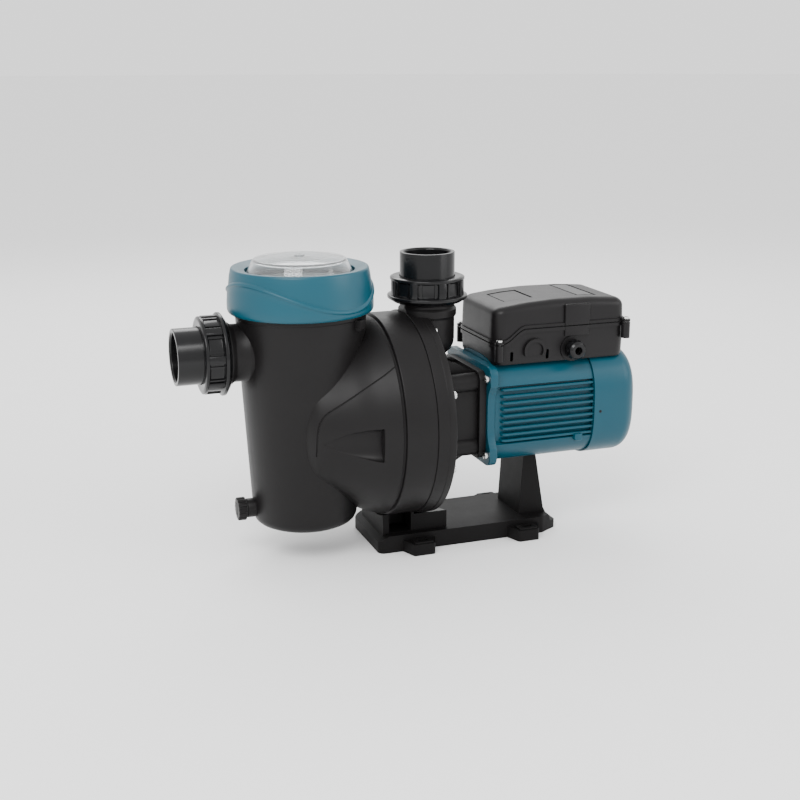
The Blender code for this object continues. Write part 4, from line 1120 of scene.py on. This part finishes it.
def panel_pockets(lid):
    """Cuts the two label fields into the lid: a groove round each and a slightly sunk floor."""
    groove = 2.6
    for low_x, high_x, low_y, high_y in ((280, 324, -30, 30), (386, 417, -40, 50)):
        inner = (low_x + groove, high_x - groove, low_y + groove, high_y - groove)
        ring = cut(crown_pocket("panel_groove", low_x, high_x, low_y, high_y, 1.6),
                   crown_pocket("panel_core", *inner, 4))
        cut(lid, ring)
        cut(lid, crown_pocket("panel_floor", low_x + 1, high_x - 1, low_y + 1, high_y - 1, 0.6))


def rating_plate():
    """The blank plate in the right-hand field of the lid."""
    low_x, high_x = 389.2, 413.8
    steps = 6
    stations = [low_x + (high_x - low_x) * step / steps for step in range(steps + 1)]
    outline = [(POT_X + along, top_height(along) - 1.0) for along in stations]
    outline += [(POT_X + along, top_height(along) - 0.2) for along in reversed(stations)]
    plate = prism("rating_plate", outline, -36.8, 46.8, "y", PLATE_GREY, round_low=0.2, round_high=0.2,
                  steps=1)
    fit(plate, "box_cover", "black_plastic")


def cable_gland():
    place = (GLAND.x, 0, GLAND.z)
    body = turned("gland_body", rounded([
        (5.2, 79, 0.3), (9, 79, 0.4), (9, 70, 0), (8, 70, 0), (8, 56, 0.4), (5.2, 56, 0.3)], 2),
        UNION_BLACK, place, "-y", ROUND_TINY)
    collar = cut(prism("gland_hex", circle(13.0, 6), 66.6, 70.2, "z", UNION_BLACK, place, "-y",
                       round_high=0.8),
                 rod("hex_bore", 6.5, 60, 75, place, "-y", ROUND_TINY))
    join(body, collar)
    fit(body, "pump", "union_plastic", "gland_body")
    nut = turned("gland_nut", rounded([
        (5.4, 86, 0.5), (9.6, 86, 1), (12.4, 83, 2), (13.0, 78, 0), (13.0, 70.6, 0.6), (9.4, 70.6, 0.3),
        (9.4, 79.4, 0), (5.4, 79.4, 0)], 4), UNION_BLACK, place, "-y", ROUND_SMALL)
    join(nut, copies_round("gland_grips", rectangle(11, 13.7, -1.0, 1.0, 0.4, 2), 71.4, 79.5, 12, 0,
                           UNION_BLACK, place, "-y", round_rims=0.3))
    fit(nut, "gland", "union_plastic", "gland_nut")


# Base

def base_frame():
    plan = rounded([(BASE_LEFT, -BASE_HALF, 9), (POT_X + 334, -BASE_HALF, 12), (BASE_RIGHT, -43, 10),
                    (BASE_RIGHT, 43, 10), (POT_X + 334, BASE_HALF, 12), (BASE_LEFT, BASE_HALF, 9)], 6)
    base = prism("base_frame", plan, 0, BASE_TOP, "z", BASE_BLACK, round_high=1.6)
    ramp = [(BASE_LEFT - 5, 13), (POT_X + 104, BASE_TOP + 1), (POT_X + 104, 40), (BASE_LEFT - 5, 40)]
    toe = [(POT_X + 346, BASE_TOP + 1), (POT_X + 351, 13), (BASE_RIGHT + 5, 10), (BASE_RIGHT + 5, 40),
           (POT_X + 346, 40)]
    cut(base, prism("ramp", ramp, -70, 70, "y", BASE_BLACK), prism("toe", toe, -70, 70, "y", BASE_BLACK))
    saddle = prism("saddle", rectangle(POT_X + 97, POT_X + 191, -47, 47), 12, 62, "z", BASE_BLACK)
    pedestal = prism("pedestal", [(POT_X + 306, 14), (POT_X + 353, 14), (POT_X + 345, 30), (POT_X + 331, 112),
                                  (POT_X + 312, 112)], -37, 37, "y", BASE_BLACK)
    lugs, slots = [], []
    for x in LUG_X:
        for side in (-1, 1):
            outline = rounded([(x - 27, side * 50, 0), (x + 27, side * 50, 0), (x + 15, side * LUG_TIP, 4),
                               (x - 15, side * LUG_TIP, 4)])
            lugs.append(prism("lug", outline, 0, LUG_TOP, "z", BASE_BLACK))
            boss = rectangle(x - 14, x + 14, side * SLOT_Y - 9, side * SLOT_Y + 9, 4)
            lugs.append(prism("lug_boss", boss, 2, LUG_TOP + 2.5, "z", BASE_BLACK, round_high=0.6))
            slot = rectangle(x - 8, x + 8, side * SLOT_Y - 4.5, side * SLOT_Y + 4.5, 4.4, 6)
            slots.append(prism("slot", slot, -5, 30, "z", BASE_BLACK))
    join(base, saddle, pedestal, *lugs)
    cut(base, rod("barrel_space", BARREL_R + 0.5, 80, 142.2, (POT_X, 0, SHAFT_Z), "+x", 192),
        rod("flange_space", BARREL_R + 3.6, 142.1, 200, (POT_X, 0, SHAFT_Z), "+x", 192),
        *[prism("pocket", rectangle(POT_X + 106, POT_X + 138, side * 13, side * 62), BASE_TOP + 0.5, 80,
                "z", BASE_BLACK) for side in (-1, 1)],
        prism("hollow", rectangle(POT_X + 97.5, POT_X + 199, -49, 49, 4), -5, 18.5, "z", BASE_BLACK),
        prism("hollow", rectangle(POT_X + 205, POT_X + 300, -49, 49, 4), -5, 18.5, "z", BASE_BLACK),
        motor_space(MOTOR_HALF + 0.4, 290, 370), *slots)
    fit(base, "pump", "black_plastic", "base_frame")


# The whole scene

def build():
    add_camera()
    add_stage()
    dress_frame()
    pump_body()
    rear_cover()
    screws()
    lid_ring()
    clear_lid()
    strainer_basket()
    basket_handle()
    union_set("suction", (SUCTION_SEAT_X, 0, SUCTION_Z), "-x", "suction_pipe", "suction_ring")
    union_set("discharge", (DISCHARGE_X, 0, DISCHARGE_SEAT_Z), "+z", "discharge_pipe", "discharge_ring")
    drain_plug()
    lantern_bracket()
    front_shield()
    motor_housing()
    rear_shield()
    fan_cover()
    box_base()
    box_lid()
    rating_plate()
    cable_gland()
    base_frame()


build()
